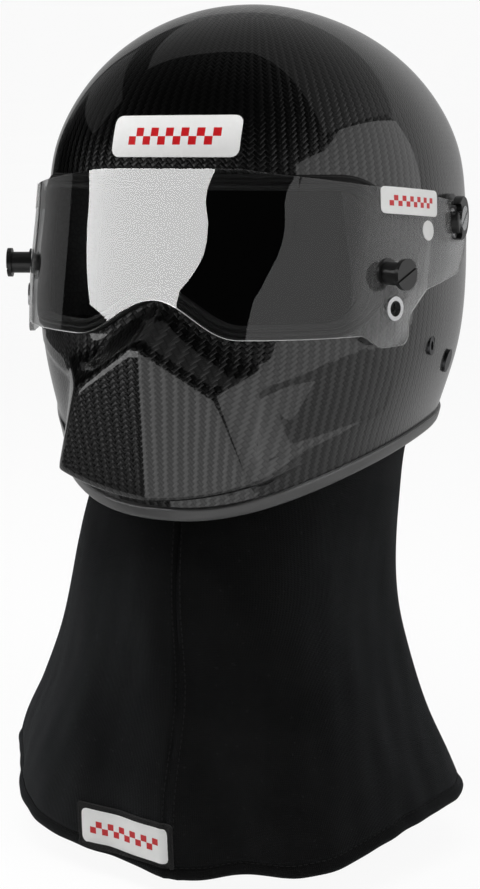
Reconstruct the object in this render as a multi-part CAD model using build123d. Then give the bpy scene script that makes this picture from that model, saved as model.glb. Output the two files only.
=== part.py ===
"""Full-face auto racing helmet with a clear shield and a knitted neck skirt.

Millimetres, +Z up, the helmet faces -Y, and +X is the wearer's left.
The origin is the head-form reference: on the centre plane, level with the shield's pivots,
at the widest level section.
"""

import os
from math import cos, pi, radians, sin

from build123d import *

# Shell: half widths, front and back reaches of the level sections, from the brow down to the foot.
brow_z = 8.0
brow_half_width = 113.5
brow_front = 127.0
brow_back = 147.0
eye_z = -34.0
eye_half_width = 114.5
eye_front = 141.0
eye_back = 153.0
jaw_z = -78.0
jaw_half_width = 110.5
jaw_front = 145.0
jaw_back = 148.0
nape_z = -112.0
nape_half_width = 101.0
nape_front = 144.0
nape_back = 135.0
rim_row_z = -135.0
rim_row_half_width = 94.5
rim_row_front = 141.5
rim_row_back = 125.0
foot_z = -156.0
foot_half_width = 86.0
foot_front = 137.0
foot_back = 112.0
crown_height = 108.0
crown_lean = 13.0
crown_row_degs = (15, 30, 45, 58, 70, 80, 86)
front_power = 2.3
back_power = 2.15
section_points = 24
shell_wall = 3.0

# Rim of the shell, seen from the side, and the rubber trim on it.
rim_front_z = -144.5
rim_front_y = -141.0
rim_front_rise_share = 0.5
rim_side_z = -117.5
rim_side_y = -34.0
rim_back_z = -115.0
rim_back_y = 125.0
trim_drop = 6.0
trim_lap = 2.0
trim_wall = 1.8

# Chin: a creased front panel under a chevron ridge, with a scoop on each side of the nose.
chin_top_z = -30.0
chin_foot_z = -152.0
chin_crease_top = 171.0
chin_crease_foot = 158.5
chin_panel_top_half = 21.0
chin_panel_top_reach = 167.0
chin_panel_foot_half = 62.0
chin_panel_foot_reach = 145.5
chin_cheek_top_half = 86.0
chin_cheek_top_reach = 96.0
chin_cheek_foot_half = 76.0
chin_cheek_foot_reach = 84.0
chin_back_reach = 40.0
chin_lip_z = -136.0
chin_lip_side_half = 90.0
chin_lip_side_z = -106.0
ridge_peak_z = -58.5
ridge_flat_half = 4.0
nose_z = -38.0
nose_reach = 138.0
ridge_corner_half = 37.0
ridge_corner_reach = 161.0
ridge_corner_z = -80.5
scoop_corner_reach = 134.5
scoop_corner_z = -54.0
ridge_cheek_half = 60.0
ridge_cheek_reach = 132.0
ridge_cheek_z = -73.0
scoop_cheek_reach = 124.0
scoop_cheek_z = -56.0
scoop_end_half = 80.0
scoop_end_reach = 106.0
scoop_end_z = -61.5
scoop_sag = 3.0
scoop_sag_shares = (0.0, 0.33, 1.0, 0.5, 0.33)
scoop_clear_z = 60.0
scoop_clear_reach = 240.0

# Eyeport opening, seen from the front, and its gasket.
eyeport_half_width = 93.0
eyeport_top_z = 19.0
eyeport_side_z = -34.0
eyeport_low_half = 80.0
eyeport_low_z = -49.5
eyeport_nose_half = 44.0
eyeport_nose_z = -31.0
eyeport_corner = 14.0
eyeport_back_y = -50.0
gasket_wall = 1.6
gasket_lip = 6.0
gasket_stud_fit = 0.6

# Shield.
shield_gap = 3.8
shield_wall = 2.6
shield_top_z = 28.0
shield_reach = 130.0
shield_lap = 5.0
shield_outline_shares = (
    (-1.70, 1.00),
    (-0.98, 1.00),
    (-0.02, 0.28),
    (0.03, -0.40),
    (-0.09, -1.00),
    (-0.43, -1.22),
    (-0.55, -1.66),
    (-0.545, -2.20),
    (-0.70, -2.20),
    (-0.78, -1.9464),
    (-1.70, -1.9464),
)
shield_corner_radii = (1.0, 30.0, 9.0, 14.0, 9.0, 14.0, 7.0, 5.0, 5.0, 8.0, 1.0)

# Shield pivots: a base plate on the shell, a ratchet plate in the shield, a cap and a screw.
pivot_y = -14.5
pivot_z = 1.0
pivot_mate_x = 114.2
pivot_gap = 0.3
pivot_plate_radius = 13.0
pivot_boss_radius = 6.0
pivot_fit = 0.06
pivot_cap_x = 118.5
pivot_cap_radius = 11.8
pivot_cap_wall = 4.8
pivot_cap_edge = 0.5
pivot_screw_radius = 6.6
pivot_screw_stand = 0.6
pivot_screw_sink = 1.4
pivot_slot_width = 1.3
pivot_slot_depth = 1.0
pivot_slot_turn_deg = 35
ratchet_screw_radius = 1.6
ratchet_screw_head = 2.4
ratchet_screw_face_x = 120.6
ratchet_screw_turn_degs = (150, 235)
ratchet_screw_orbit = 9.6
pivot_cap_notch_radius = 3.2

# Tear-off posts on the shield.
post_x = 101.0
post_y = -86.0
post_z = -24.0
post_toe_deg = 22.0
post_flange_radius = 7.6
post_flange_wall = 2.0
post_stem_radius = 5.8
post_length = 12.0
post_cap_radius = 7.9
post_cap_wall = 2.4
post_bolt_radius = 2.2
post_slot_width = 1.2
post_slot_depth = 1.0
post_slot_turn_deg = 25
post_nut_radius = 4.5
post_nut_wall = 1.6
post_nut_reach = 15.0

# Detent: a ringed hole in each lower lobe of the shield over a short stud on the shell.
detent_x = 104.0
detent_y = -83.0
detent_z = -42.0
detent_toe_deg = 22.0
detent_ring_radius = 5.6
detent_hole_radius = 4.0
detent_ring_lip = 0.6
detent_stud_radius = 3.2
detent_stud_clear = 0.8
detent_foot_radius = 4.6

# Plain round sticker and plain label panels.
dot_radius = 5.2
dot_y = -54.0
dot_z = -4.0
sticker_wall = 0.3
side_label_front_y = -86.0
side_label_back_y = -44.0
side_label_top_z = 19.5
side_label_foot_z = 6.0
side_label_drop = 3.5
side_label_corner = 2.2
front_label_half = 35.0
front_label_top_z = 54.0
front_label_foot_z = 33.5
front_label_corner = 4.0
hem_label_half = 27.5
hem_label_height = 20.0
hem_label_corner = 3.0
hem_label_wall = 0.8
hem_label_x = -21.0
hem_label_z = -324.0

# Linings inside the shell.
lining_fit = 0.3
foam_inner = 29.0
pad_inner = 37.0
chin_foam_inner = 24.0
cheek_pad_inner = 36.0
lining_brow_z = 26.5
lining_front_y = -62.0
lining_ear_z = -55.0
lining_ear_y = -6.0
lining_strap_z = -62.5
lining_nape_y = 27.0
lining_foot_z = -88.0
crown_pad_z = 50.0
band_top_z = 49.0
cheek_top_z = -57.0
cheek_back_y = -18.5
chin_back_y = -63.0
lining_rim_lift = 2.0
nape_pad_top_z = 20.0

# Restraint anchors in the lower sides of the shell.
anchor_y = -30.0
anchor_z = -67.0
anchor_face_x = 111.6
anchor_radius = 5.2
anchor_bore_radius = 2.5
anchor_bore_depth = 9.0
anchor_length = 12.0
anchor_flange_radius = 8.5
anchor_flange_wall = 2.0
anchor_flange_x = 104.4
anchor_fit = 0.05
anchor_pocket_fit = 1.0

# Chin straps on their rivets.
strap_y = 7.5
strap_pivot_z = -80.0
strap_width = 25.0
strap_wall = 1.8
strap_x = 98.2
strap_top_z = -70.0
strap_bend_z = -90.0
strap_knee_x = 76.0
strap_knee_z = -112.0
strap_low_x = 54.0
strap_long_z = -225.0
strap_short_z = -190.0
hanger_wall = 1.5
hanger_half = 9.5
rivet_radius = 3.0
rivet_fit = 0.06
rivet_head_radius = 6.0
rivet_head_wall = 1.5
rivet_shoulder_radius = 5.5
rivet_outer_radius = 6.5
rivet_outer_wall = 1.4
rivet_reach = 130.0
loop_radius = 5.4
loop_bore_radius = 3.45
ring_wire_radius = 1.6
ring_spread = 1.65
ring_depth = 24.0
ring_half = 14.6

# Neck skirt: level sections from the rim to the hem, with its main folds.
band_inset = 5.3
band_wall = 2.2
band_lap = 10.0
band_foot_lift = 1.0
skirt_row_zs = (-104.0, -135.0, -165.0, -197.0, -245.0, -274.0, -296.0, -318.0, -352.0)
skirt_row_centres = (-2.8, -7.9, -24.0, -38.0, -46.0, -50.0, -50.0, -46.0, -39.0)
skirt_row_halves = (94.0, 85.2, 88.0, 92.0, 104.0, 115.0, 125.0, 133.0, 147.0)
skirt_row_reaches = (132.0, 123.3, 114.0, 104.0, 92.0, 93.0, 97.0, 101.0, 106.0)
skirt_fold_depths = (0.2, 0.3, 1.0, 1.6, 2.6, 3.6, 4.4, 5.0, 5.6)
skirt_fold_degs = (-8, 14, 38, 62, 84, 104, 126, 150, 172, 196, 222, 246, 262, 278, 296, 322)
skirt_fold_shares = (1.0, -0.7, 0.8, -0.9, 0.6, -0.5, 0.9, -0.6, 1.0, -0.8, 0.5, -0.4, 0.5, -0.6, 0.7, -0.8)
skirt_wall = 3.0
skirt_top_lift = 6.0
hem_front_z = -375.0
hem_side_z = -318.0
hem_back_z = -366.0
skirt_hem_reach = 160.0

overrun = 60.0
far = 260.0
sides = ((1, "left"), (-1, "right"))


def level_wire(z, half_width, front, back, shift, inset):
    """Closed level outline, blunter than an ellipse, drawn in by the inset."""
    points = []
    for step in range(section_points):
        turn = 2 * pi * step / section_points
        behind = sin(turn) >= 0
        power = back_power if behind else front_power
        x = (half_width - inset) * abs(cos(turn)) ** (2 / power)
        y = ((back if behind else front) - inset) * abs(sin(turn)) ** (2 / power)
        points.append(Vector(x if cos(turn) >= 0 else -x, (y if behind else -y) - shift, z))
    return Wire([Spline(*points, periodic=True)])


built_forms = {}


def body_form(inset):
    """Crown and lower body as one closed solid, drawn in by the inset."""
    if inset not in built_forms:
        rows = [
            (foot_z, foot_half_width, foot_front, foot_back),
            (rim_row_z, rim_row_half_width, rim_row_front, rim_row_back),
            (nape_z, nape_half_width, nape_front, nape_back),
            (jaw_z, jaw_half_width, jaw_front, jaw_back),
            (eye_z, eye_half_width, eye_front, eye_back),
            (brow_z, brow_half_width, brow_front, brow_back),
        ]
        wires = [level_wire(*row, 0, inset) for row in rows]
        for deg in crown_row_degs:
            share = cos(radians(deg))
            z = brow_z + (crown_height - inset) * sin(radians(deg))
            sizes = [size * share for size in (brow_half_width, brow_front, brow_back)]
            wires.append(level_wire(z, *sizes, crown_lean * (1 - share), inset * share))
        built_forms[inset] = Solid.make_loft(wires)
    return built_forms[inset]


def mirrored_loop(points, z):
    """Closed level polygon from its left-hand points, mirrored across the centre plane."""
    left = [Vector(x, y, z) for x, y in points]
    right = [Vector(-x, y, z) for x, y in reversed(points) if x > 0]
    return Wire.make_polygon(left + right, close=True)


def scoop_form(inset, side):
    """Room above the chevron ridge on one side, down to the scooped surface."""
    rows = (
        (0, chin_crease_top, ridge_peak_z, nose_reach, nose_z),
        (ridge_flat_half, chin_crease_top, ridge_peak_z, nose_reach, nose_z),
        (ridge_corner_half, ridge_corner_reach, ridge_corner_z, scoop_corner_reach, scoop_corner_z),
        (ridge_cheek_half, ridge_cheek_reach, ridge_cheek_z, scoop_cheek_reach, scoop_cheek_z),
        (scoop_end_half, scoop_end_reach + scoop_sag, scoop_end_z - scoop_sag, scoop_end_reach, scoop_end_z),
    )
    wires = []
    for row, share in zip(rows, scoop_sag_shares):
        x, ridge_reach, ridge_z, back_reach, back_z = row
        sag = scoop_sag * share
        middle_reach = (ridge_reach + back_reach) / 2 - sag
        middle_z = (ridge_z + back_z) / 2 - sag / 2
        outline = (
            (-ridge_reach, ridge_z),
            (-middle_reach, middle_z),
            (-back_reach, back_z),
            (-back_reach, scoop_clear_z),
            (-scoop_clear_reach, scoop_clear_z),
            (-scoop_clear_reach, ridge_z),
        )
        points = [Vector(side * x, y + inset, z - inset) for y, z in outline]
        wires.append(Wire.make_polygon(points, close=True))
    return Solid.make_loft(wires if side > 0 else wires[::-1], ruled=True)


def under_lip(inset):
    """Room under the chin's lip, which rises towards the cheeks."""
    def at(x, z):
        return Vector(x, -far, z)

    half = chin_lip_side_half
    side_z = chin_lip_side_z + inset
    path = [
        ThreePointArc(at(-half, side_z), at(0, chin_lip_z + inset), at(half, side_z)),
        Line(at(half, side_z), at(half, -2 * far)),
        Line(at(half, -2 * far), at(-half, -2 * far)),
        Line(at(-half, -2 * far), at(-half, side_z)),
    ]
    return extrude(Face(Wire(path)), amount=2 * far, dir=(0, 1, 0))


built_chins = {}


def chin_form(inset):
    """Creased chin with its chevron ridge and its lip, drawn in by the inset."""
    if inset not in built_chins:
        top = (
            (0, inset - chin_crease_top),
            (chin_panel_top_half - inset, inset - chin_panel_top_reach),
            (chin_cheek_top_half - inset, inset - chin_cheek_top_reach),
            (chin_cheek_top_half - inset, -chin_back_reach),
        )
        foot = (
            (0, inset - chin_crease_foot),
            (chin_panel_foot_half - inset, inset - chin_panel_foot_reach),
            (chin_cheek_foot_half - inset, inset - chin_cheek_foot_reach),
            (chin_cheek_foot_half - inset, -chin_back_reach),
        )
        solid = Solid.make_loft([mirrored_loop(foot, chin_foot_z), mirrored_loop(top, chin_top_z)], ruled=True)
        built_chins[inset] = solid - scoop_form(inset, 1) - scoop_form(inset, -1) - under_lip(inset)
    return built_chins[inset]


def full_form(inset):
    """Body and chin together, drawn in by the inset."""
    return body_form(inset) + chin_form(inset)


def side_prism(outline, x_from=-far, x_to=far):
    """Solid across the helmet from an outline of (y, z) points."""
    wire = Wire.make_polygon([Vector(x_from, y, z) for y, z in outline], close=True)
    return extrude(Face(wire), amount=x_to - x_from, dir=(1, 0, 0))


def side_box(y_from, y_to, z_from, z_to, x_from=-far, x_to=far):
    """Solid across the helmet from a rectangle seen from the side."""
    return side_prism(((y_from, z_from), (y_to, z_from), (y_to, z_to), (y_from, z_to)), x_from, x_to)


def below_rim(lift):
    """Everything under the rim line, which is moved up by the lift."""
    front = Vector(-far, rim_front_y, rim_front_z + lift)
    side = Vector(-far, rim_side_y, rim_side_z + lift)
    back = Vector(-far, rim_back_y, rim_back_z + lift)
    sweep = Spline(front, side, back, tangents=((0, 1, rim_front_rise_share), (0, 1, 0)))
    path = [
        Line((-far, -far, rim_front_z + lift), front),
        sweep,
        Line(back, (-far, far, rim_back_z + lift)),
        Line((-far, far, rim_back_z + lift), (-far, far, -2 * far)),
        Line((-far, far, -2 * far), (-far, -far, -2 * far)),
        Line((-far, -far, -2 * far), (-far, -far, rim_front_z + lift)),
    ]
    return extrude(Face(Wire(path)), amount=2 * far, dir=(1, 0, 0))


def eyeport_half(grow, side):
    """Edges of one half of the eyeport outline, from its top middle to its nose."""
    def at(x, z):
        return Vector(side * x, -far, z)

    top = eyeport_top_z + grow
    edge = eyeport_half_width + grow
    low = eyeport_low_z - grow
    nose = eyeport_nose_z - grow
    corner = eyeport_corner + grow
    return [
        Line(at(0, top), at(edge - corner, top)),
        ThreePointArc(
            at(edge - corner, top),
            at(edge - corner * (1 - sin(pi / 4)), top - corner * (1 - cos(pi / 4))),
            at(edge, top - corner),
        ),
        Line(at(edge, top - corner), at(edge, eyeport_side_z)),
        Spline(at(edge, eyeport_side_z), at(eyeport_low_half, low), tangents=((0, 0, -1), (-side, 0, 0))),
        Line(at(eyeport_low_half, low), at(eyeport_nose_half, low)),
        Spline(at(eyeport_nose_half, low), at(0, nose), tangents=((-side, 0, 0), (-side, 0, 0))),
    ]


def eyeport_prism(grow):
    """Solid through the eyeport, its outline grown all round."""
    wire = Wire(eyeport_half(grow, 1) + eyeport_half(grow, -1))
    return extrude(Face(wire), amount=far + eyeport_back_y, dir=(0, 1, 0))


def rod(point, direction, radius, start, end):
    """Round bar along a direction, between two distances from a point."""
    plane = Plane(origin=Vector(*point) + Vector(*direction) * start, z_dir=direction)
    return extrude(plane * Circle(radius), amount=end - start)


def half_space(side):
    """Everything on the wearer's left or right of the centre plane."""
    return side_box(-far, far, -2 * far, far, 0, far) if side > 0 else side_box(-far, far, -2 * far, far, -far, 0)


def outward(side, toe_deg):
    """Direction out of the side of the helmet, turned forward by the toe angle."""
    return (side * cos(radians(toe_deg)), -sin(radians(toe_deg)), 0)


def rounded_panel(half_wide, half_high, corner, plane):
    """Thin rounded blank in a plane, used to cut a label out of a skin."""
    return plane * RectangleRounded(2 * half_wide, 2 * half_high, corner)


def outer_shell():
    """Carbon shell with the eyeport, the rim and the holes for what passes through it."""
    shell = full_form(0) - full_form(shell_wall) - eyeport_prism(0) - below_rim(0)
    for side, _ in sides:
        across = (side, 0, 0)
        shell -= rod((0, anchor_y, anchor_z), across, anchor_radius + anchor_fit, overrun, far)
        shell -= rod((0, strap_y, strap_pivot_z), across, rivet_radius + rivet_fit, overrun, far)
    return shell


def base_trim(shell):
    """Rubber channel that laps both faces of the rim, under the chin's lip."""
    ring = body_form(-trim_wall) - full_form(shell_wall + trim_wall)
    ring = ring & below_rim(trim_lap)
    return ring - below_rim(-trim_drop) - shell


def eyeport_gasket(shell):
    """Channel seal round the eyeport that laps both faces of the shell, clear of the studs."""
    ring = (full_form(-gasket_wall) - full_form(shell_wall + gasket_wall)) & eyeport_prism(gasket_lip)
    ring = ring - eyeport_prism(-gasket_wall) - shell
    for side, _ in sides:
        place = (side * detent_x, detent_y, detent_z)
        out = outward(side, detent_toe_deg)
        ring -= rod(place, out, detent_foot_radius + gasket_stud_fit, -post_nut_reach, post_nut_reach)
    return ring


def shield_outline(x_from, x_to):
    """Side view of the shield: a swept top edge, a pivot end, a scallop and a lower lobe."""
    points = []
    for reach_share, height_share in shield_outline_shares:
        points.append((x_from, shield_reach * reach_share, shield_top_z * height_share))
    outline = FilletPolyline(*points, radius=list(shield_corner_radii), close=True)
    return extrude(Face(Wire(outline.edges())), amount=x_to - x_from, dir=(1, 0, 0))


def shield_notch():
    """Room under the shield's front edge, which rises over the nose."""
    edges = eyeport_half(shield_lap, 1)[-1:] + eyeport_half(shield_lap, -1)[-1:]
    low = eyeport_low_z - shield_lap
    ends = [Vector(side * eyeport_nose_half, -far, low) for side in (1, -1)]
    feet = [Vector(side * eyeport_nose_half, -far, low - overrun) for side in (1, -1)]
    edges += [Line(ends[0], feet[0]), Line(feet[0], feet[1]), Line(feet[1], ends[1])]
    return extrude(Face(Wire(edges)), amount=far + eyeport_back_y, dir=(0, 1, 0))


def shield():
    """Clear shield that follows the shell at a constant gap."""
    skin = body_form(-shield_gap - shield_wall) - body_form(-shield_gap)
    skin = skin & shield_outline(-far, far)
    skin -= shield_notch()
    for side, _ in sides:
        skin -= rod((0, pivot_y, pivot_z), (side, 0, 0), pivot_boss_radius + pivot_fit, overrun, far)
        post = outward(side, post_toe_deg)
        skin -= rod((side * post_x, post_y, post_z), post, post_bolt_radius, -overrun / 2, overrun)
        hole = outward(side, detent_toe_deg)
        skin -= rod((side * detent_x, detent_y, detent_z), hole, detent_ring_radius, -overrun / 2, overrun)
        for y, z in ratchet_screw_places():
            skin -= rod((0, y, z), (side, 0, 0), ratchet_screw_radius, overrun, far)
    return skin


def ratchet_screw_places():
    """Centres (y, z) of the small screws beside each pivot."""
    places = []
    for deg in ratchet_screw_turn_degs:
        y = pivot_y + ratchet_screw_orbit * cos(radians(deg))
        z = pivot_z + ratchet_screw_orbit * sin(radians(deg))
        places.append((y, z))
    return places


def pivot_parts(side):
    """Base plate, ratchet plate, cap and slotted screw of one pivot."""
    across = (side, 0, 0)
    centre = (0, pivot_y, pivot_z)
    cap_end = pivot_cap_x + pivot_cap_wall
    base = rod(centre, across, pivot_plate_radius, overrun, pivot_mate_x) - body_form(0)
    base += rod(centre, across, pivot_boss_radius, pivot_mate_x, pivot_cap_x - pivot_gap)
    plate = rod(centre, across, pivot_plate_radius, pivot_mate_x + pivot_gap, far) & body_form(-shield_gap)
    plate -= rod(centre, across, pivot_boss_radius + pivot_fit, overrun, far)
    for y, z in ratchet_screw_places():
        plate -= rod((0, y, z), across, ratchet_screw_radius, overrun, far)
    cap = rod(centre, across, pivot_cap_radius, pivot_cap_x, cap_end)
    cap = chamfer(cap.edges().group_by(SortBy.LENGTH)[-1], pivot_cap_edge)
    cap -= rod(centre, across, pivot_screw_radius, cap_end - pivot_screw_sink, far)
    cap -= body_form(-shield_gap - shield_wall)
    for y, z in ratchet_screw_places():
        cap -= rod((0, y, z), across, pivot_cap_notch_radius, overrun, far)
    screw_face = cap_end + pivot_screw_stand
    screw = rod(centre, across, pivot_screw_radius, cap_end - pivot_screw_sink, screw_face)
    slot = Rotation(pivot_slot_turn_deg, 0, 0) * Box(2 * pivot_slot_depth, overrun, pivot_slot_width)
    screw -= Pos(side * screw_face, pivot_y, pivot_z) * slot
    return base, plate, cap, screw


def ratchet_screws():
    """Small screws that hold the ratchet plates in the shield."""
    screws = []
    for side, _ in sides:
        across = (side, 0, 0)
        for y, z in ratchet_screw_places():
            head = rod((0, y, z), across, ratchet_screw_head, overrun, ratchet_screw_face_x)
            head -= body_form(-shield_gap - shield_wall)
            shank_start = pivot_mate_x + pivot_gap
            shank = rod((0, y, z), across, ratchet_screw_radius, shank_start, ratchet_screw_face_x)
            screws.append(head + shank)
    return screws


def tear_off_parts(side):
    """Post with a flange and a slotted cap outside the shield, and its bolt with an inner nut."""
    out = outward(side, post_toe_deg)
    place = (side * post_x, post_y, post_z)
    skin = body_form(-shield_gap - shield_wall)
    cap_end = post_length + post_cap_wall
    post = rod(place, out, post_flange_radius, -post_nut_reach, post_flange_wall)
    post += rod(place, out, post_stem_radius, 0, post_length)
    post += rod(place, out, post_cap_radius, post_length, cap_end)
    post -= skin
    bolt_room = rod(place, out, post_bolt_radius, -post_nut_reach, post_length)
    post -= bolt_room
    slot = Plane(origin=Vector(*place) + Vector(*out) * cap_end, z_dir=out)
    slot = slot * Rotation(0, 0, side * post_slot_turn_deg)
    post -= slot * Box(overrun, post_slot_width, 2 * post_slot_depth)
    nut = rod(place, out, post_nut_radius, -post_nut_reach, post_nut_reach) & body_form(-shield_gap)
    nut -= body_form(post_nut_wall - shield_gap)
    bolt = bolt_room - body_form(post_nut_wall - shield_gap)
    return post, bolt + nut


def detent_parts(side):
    """Ring in the shield's lobe and the short flanged stud behind it on the shell."""
    out = outward(side, detent_toe_deg)
    place = (side * detent_x, detent_y, detent_z)
    shield_face = body_form(-shield_gap - shield_wall)

    def bar(radius):
        return rod(place, out, radius, -post_nut_reach, post_nut_reach)

    lip = bar(detent_ring_radius + detent_ring_lip) & body_form(-shield_gap - shield_wall - detent_ring_lip)
    sleeve = (bar(detent_ring_radius) & shield_face) - body_form(-shield_gap)
    ring = (lip - shield_face) + sleeve - bar(detent_hole_radius)
    stud = (bar(detent_stud_radius) & body_form(detent_stud_clear - shield_gap)) - body_form(0)
    foot = (bar(detent_foot_radius) & body_form(-detent_stud_clear)) - body_form(0)
    return ring, stud + foot


def side_label(side):
    """Plain label panel on the shield's side, level with its top edge."""
    middle_y = (side_label_front_y + side_label_back_y) / 2
    middle_z = (side_label_top_z + side_label_foot_z - side_label_drop) / 2
    half_wide = (side_label_back_y - side_label_front_y) / 2
    half_high = (side_label_top_z - side_label_foot_z) / 2
    tilt = side_label_drop / (2 * half_wide) * 180 / pi
    plane = Plane(origin=(side * overrun, middle_y, middle_z), x_dir=(0, 1, 0), z_dir=(side, 0, 0))
    plane = plane * Rotation(0, 0, -side * tilt)
    blank = rounded_panel(half_wide, half_high, side_label_corner, plane)
    outer = body_form(-shield_gap - shield_wall - sticker_wall)
    return extrude(blank, amount=overrun + far) & (outer - body_form(-shield_gap - shield_wall))


def front_label():
    """Plain label panel on the brow, above the shield."""
    middle_z = (front_label_top_z + front_label_foot_z) / 2
    half_high = (front_label_top_z - front_label_foot_z) / 2
    plane = Plane(origin=(0, -overrun, middle_z), x_dir=(1, 0, 0), z_dir=(0, -1, 0))
    blank = rounded_panel(front_label_half, half_high, front_label_corner, plane)
    return extrude(blank, amount=far) & (body_form(-sticker_wall) - body_form(0))


def dots():
    """Plain round stickers on the shield's sides."""
    pieces = []
    skin = body_form(-shield_gap - shield_wall - sticker_wall) - body_form(-shield_gap - shield_wall)
    for side, _ in sides:
        place = (side * overrun, dot_y, dot_z)
        pieces.append(rod(place, (side, 0, 0), dot_radius, 0, far) & skin)
    return pieces


def anchor(side):
    """Flanged threaded insert for a head restraint post."""
    across = (side, 0, 0)
    centre = (0, anchor_y, anchor_z)
    body = rod(centre, across, anchor_radius, anchor_face_x - anchor_length, anchor_face_x)
    flange_end = anchor_flange_x + anchor_flange_wall
    body += rod(centre, across, anchor_flange_radius, anchor_flange_x, flange_end) & body_form(shell_wall)
    return body - rod(centre, across, anchor_bore_radius, anchor_face_x - anchor_bore_depth, far)


def strap(side, foot_z):
    """Webbing that hangs from its rivet just inside the shell."""
    inner = strap_x - strap_wall
    outline = (
        (strap_x, strap_top_z),
        (inner, strap_top_z),
        (inner, strap_bend_z),
        (strap_knee_x - strap_wall, strap_knee_z),
        (strap_low_x - strap_wall, foot_z),
        (strap_low_x, foot_z),
        (strap_knee_x, strap_knee_z),
        (strap_x, strap_bend_z),
    )
    front_y = strap_y - strap_width / 2
    wire = Wire.make_polygon([Vector(side * x, front_y, z) for x, z in outline], close=True)
    web = extrude(Face(wire), amount=strap_width, dir=(0, 1, 0))
    return web - rod((0, strap_y, strap_pivot_z), (side, 0, 0), rivet_radius + rivet_fit, overrun, far)


def strap_hanger(side):
    """Steel plate on the strap's upper end, turning on the rivet."""
    box = side_box(
        strap_y - strap_width / 2,
        strap_y + strap_width / 2,
        strap_pivot_z - hanger_half,
        strap_pivot_z + hanger_half,
        side * strap_x,
        side * (strap_x + hanger_wall),
    )
    return box - rod((0, strap_y, strap_pivot_z), (side, 0, 0), rivet_radius + rivet_fit, overrun, far)


def rivets():
    """Strap rivets through the shell, with a shoulder inside it and a domed head outside."""
    pieces = []
    for side, _ in sides:
        across = (side, 0, 0)
        centre = (0, strap_y, strap_pivot_z)
        plate_end = strap_x + hanger_wall + pivot_gap
        head_start = strap_x - strap_wall - pivot_gap
        head = rod(centre, across, rivet_head_radius, head_start - rivet_head_wall, head_start)
        shank = rod(centre, across, rivet_radius, head_start, rivet_reach) & body_form(-rivet_outer_wall)
        shoulder = rod(centre, across, rivet_shoulder_radius, plate_end, rivet_reach) & body_form(shell_wall)
        cover = rod(centre, across, rivet_outer_radius, plate_end, rivet_reach)
        cover = cover & (body_form(-rivet_outer_wall) - body_form(0))
        pieces.append(head + shank + shoulder + cover)
    return pieces


def strap_loop():
    """Sewn loop at the foot of the short strap that carries the rings."""
    centre = (-(strap_low_x - strap_wall / 2), 0, strap_short_z - loop_radius + strap_wall / 2)
    front_y = strap_y - strap_width / 2
    sleeve = rod(centre, (0, 1, 0), loop_radius, front_y, front_y + strap_width)
    return sleeve - rod(centre, (0, 1, 0), loop_bore_radius, front_y - overrun, front_y + overrun), centre


def d_rings(centre):
    """Two wire D-rings whose straight bars lie side by side in the strap's loop."""
    rings = []
    for step in (-1, 1):
        x = centre[0] + step * ring_spread
        z = centre[2]
        start = (x, strap_y - ring_half, z)
        low = z - ring_depth + ring_half
        path = [
            Line(start, (x, strap_y + ring_half, z)),
            Line((x, strap_y + ring_half, z), (x, strap_y + ring_half, low)),
            ThreePointArc((x, strap_y + ring_half, low), (x, strap_y, low - ring_half), (x, strap_y - ring_half, low)),
            Line((x, strap_y - ring_half, low), start),
        ]
        section = Plane(origin=(x, strap_y, z), z_dir=(0, 1, 0)) * Circle(ring_wire_radius)
        rings.append(sweep(section, path=Wire(path), transition=Transition.ROUND))
    return rings


def skirt_wire(row, inset):
    """Level outline of the skirt: an oval whose edge swells and dips between fold points."""
    z = skirt_row_zs[row]
    middle = skirt_row_centres[row]
    half = skirt_row_halves[row] - inset
    reach = skirt_row_reaches[row] - inset
    depth = skirt_fold_depths[row]

    def at(deg, swell):
        turn = radians(deg)
        return Vector((half + swell) * cos(turn), middle + (reach + swell) * sin(turn), z)

    arcs = []
    count = len(skirt_fold_degs)
    for step in range(count):
        start = skirt_fold_degs[step]
        end = skirt_fold_degs[(step + 1) % count] + (360 if step == count - 1 else 0)
        swell = depth * skirt_fold_shares[step]
        arcs.append(ThreePointArc(at(start, 0), at((start + end) / 2, swell), at(end, 0)))
    return Wire(arcs)


def skirt_form(inset):
    """Skirt as a solid of its outer surface, drawn in by the inset."""
    return Solid.make_loft([skirt_wire(row, inset) for row in range(len(skirt_row_zs))])


def hem_cut():
    """Everything under the hem, which hangs lower in front and behind than at the sides."""
    def at(y, z):
        return Vector(-far, y, z)

    middle = skirt_row_centres[-1]
    front = at(middle - skirt_hem_reach, hem_front_z)
    back = at(middle + skirt_hem_reach, hem_back_z)
    path = [
        ThreePointArc(front, at(middle, hem_side_z), back),
        Line(back, at(middle + skirt_hem_reach, -2 * far)),
        Line(at(middle + skirt_hem_reach, -2 * far), at(middle - skirt_hem_reach, -2 * far)),
        Line(at(middle - skirt_hem_reach, -2 * far), front),
    ]
    return extrude(Face(Wire(path)), amount=2 * far, dir=(1, 0, 0))


def neck_skirt():
    """Two-layer knitted skirt below the attachment band."""
    cloth = skirt_form(0) - skirt_form(skirt_wall)
    return (cloth & below_rim(skirt_top_lift)) - hem_cut()


def skirt_band():
    """Attachment band between the skirt's upper edge and the inner face of the rim."""
    ring = body_form(band_inset) - body_form(band_inset + band_wall)
    return (ring & below_rim(band_lap)) - below_rim(band_foot_lift)


def hem_label():
    """Plain label panel sewn on the skirt's front above the hem."""
    plane = Plane(origin=(hem_label_x, 0, hem_label_z), x_dir=(1, 0, 0), z_dir=(0, -1, 0))
    blank = rounded_panel(hem_label_half, hem_label_height / 2, hem_label_corner, plane)
    return extrude(blank, amount=far) & (skirt_form(-hem_label_wall) - skirt_form(0))


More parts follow.
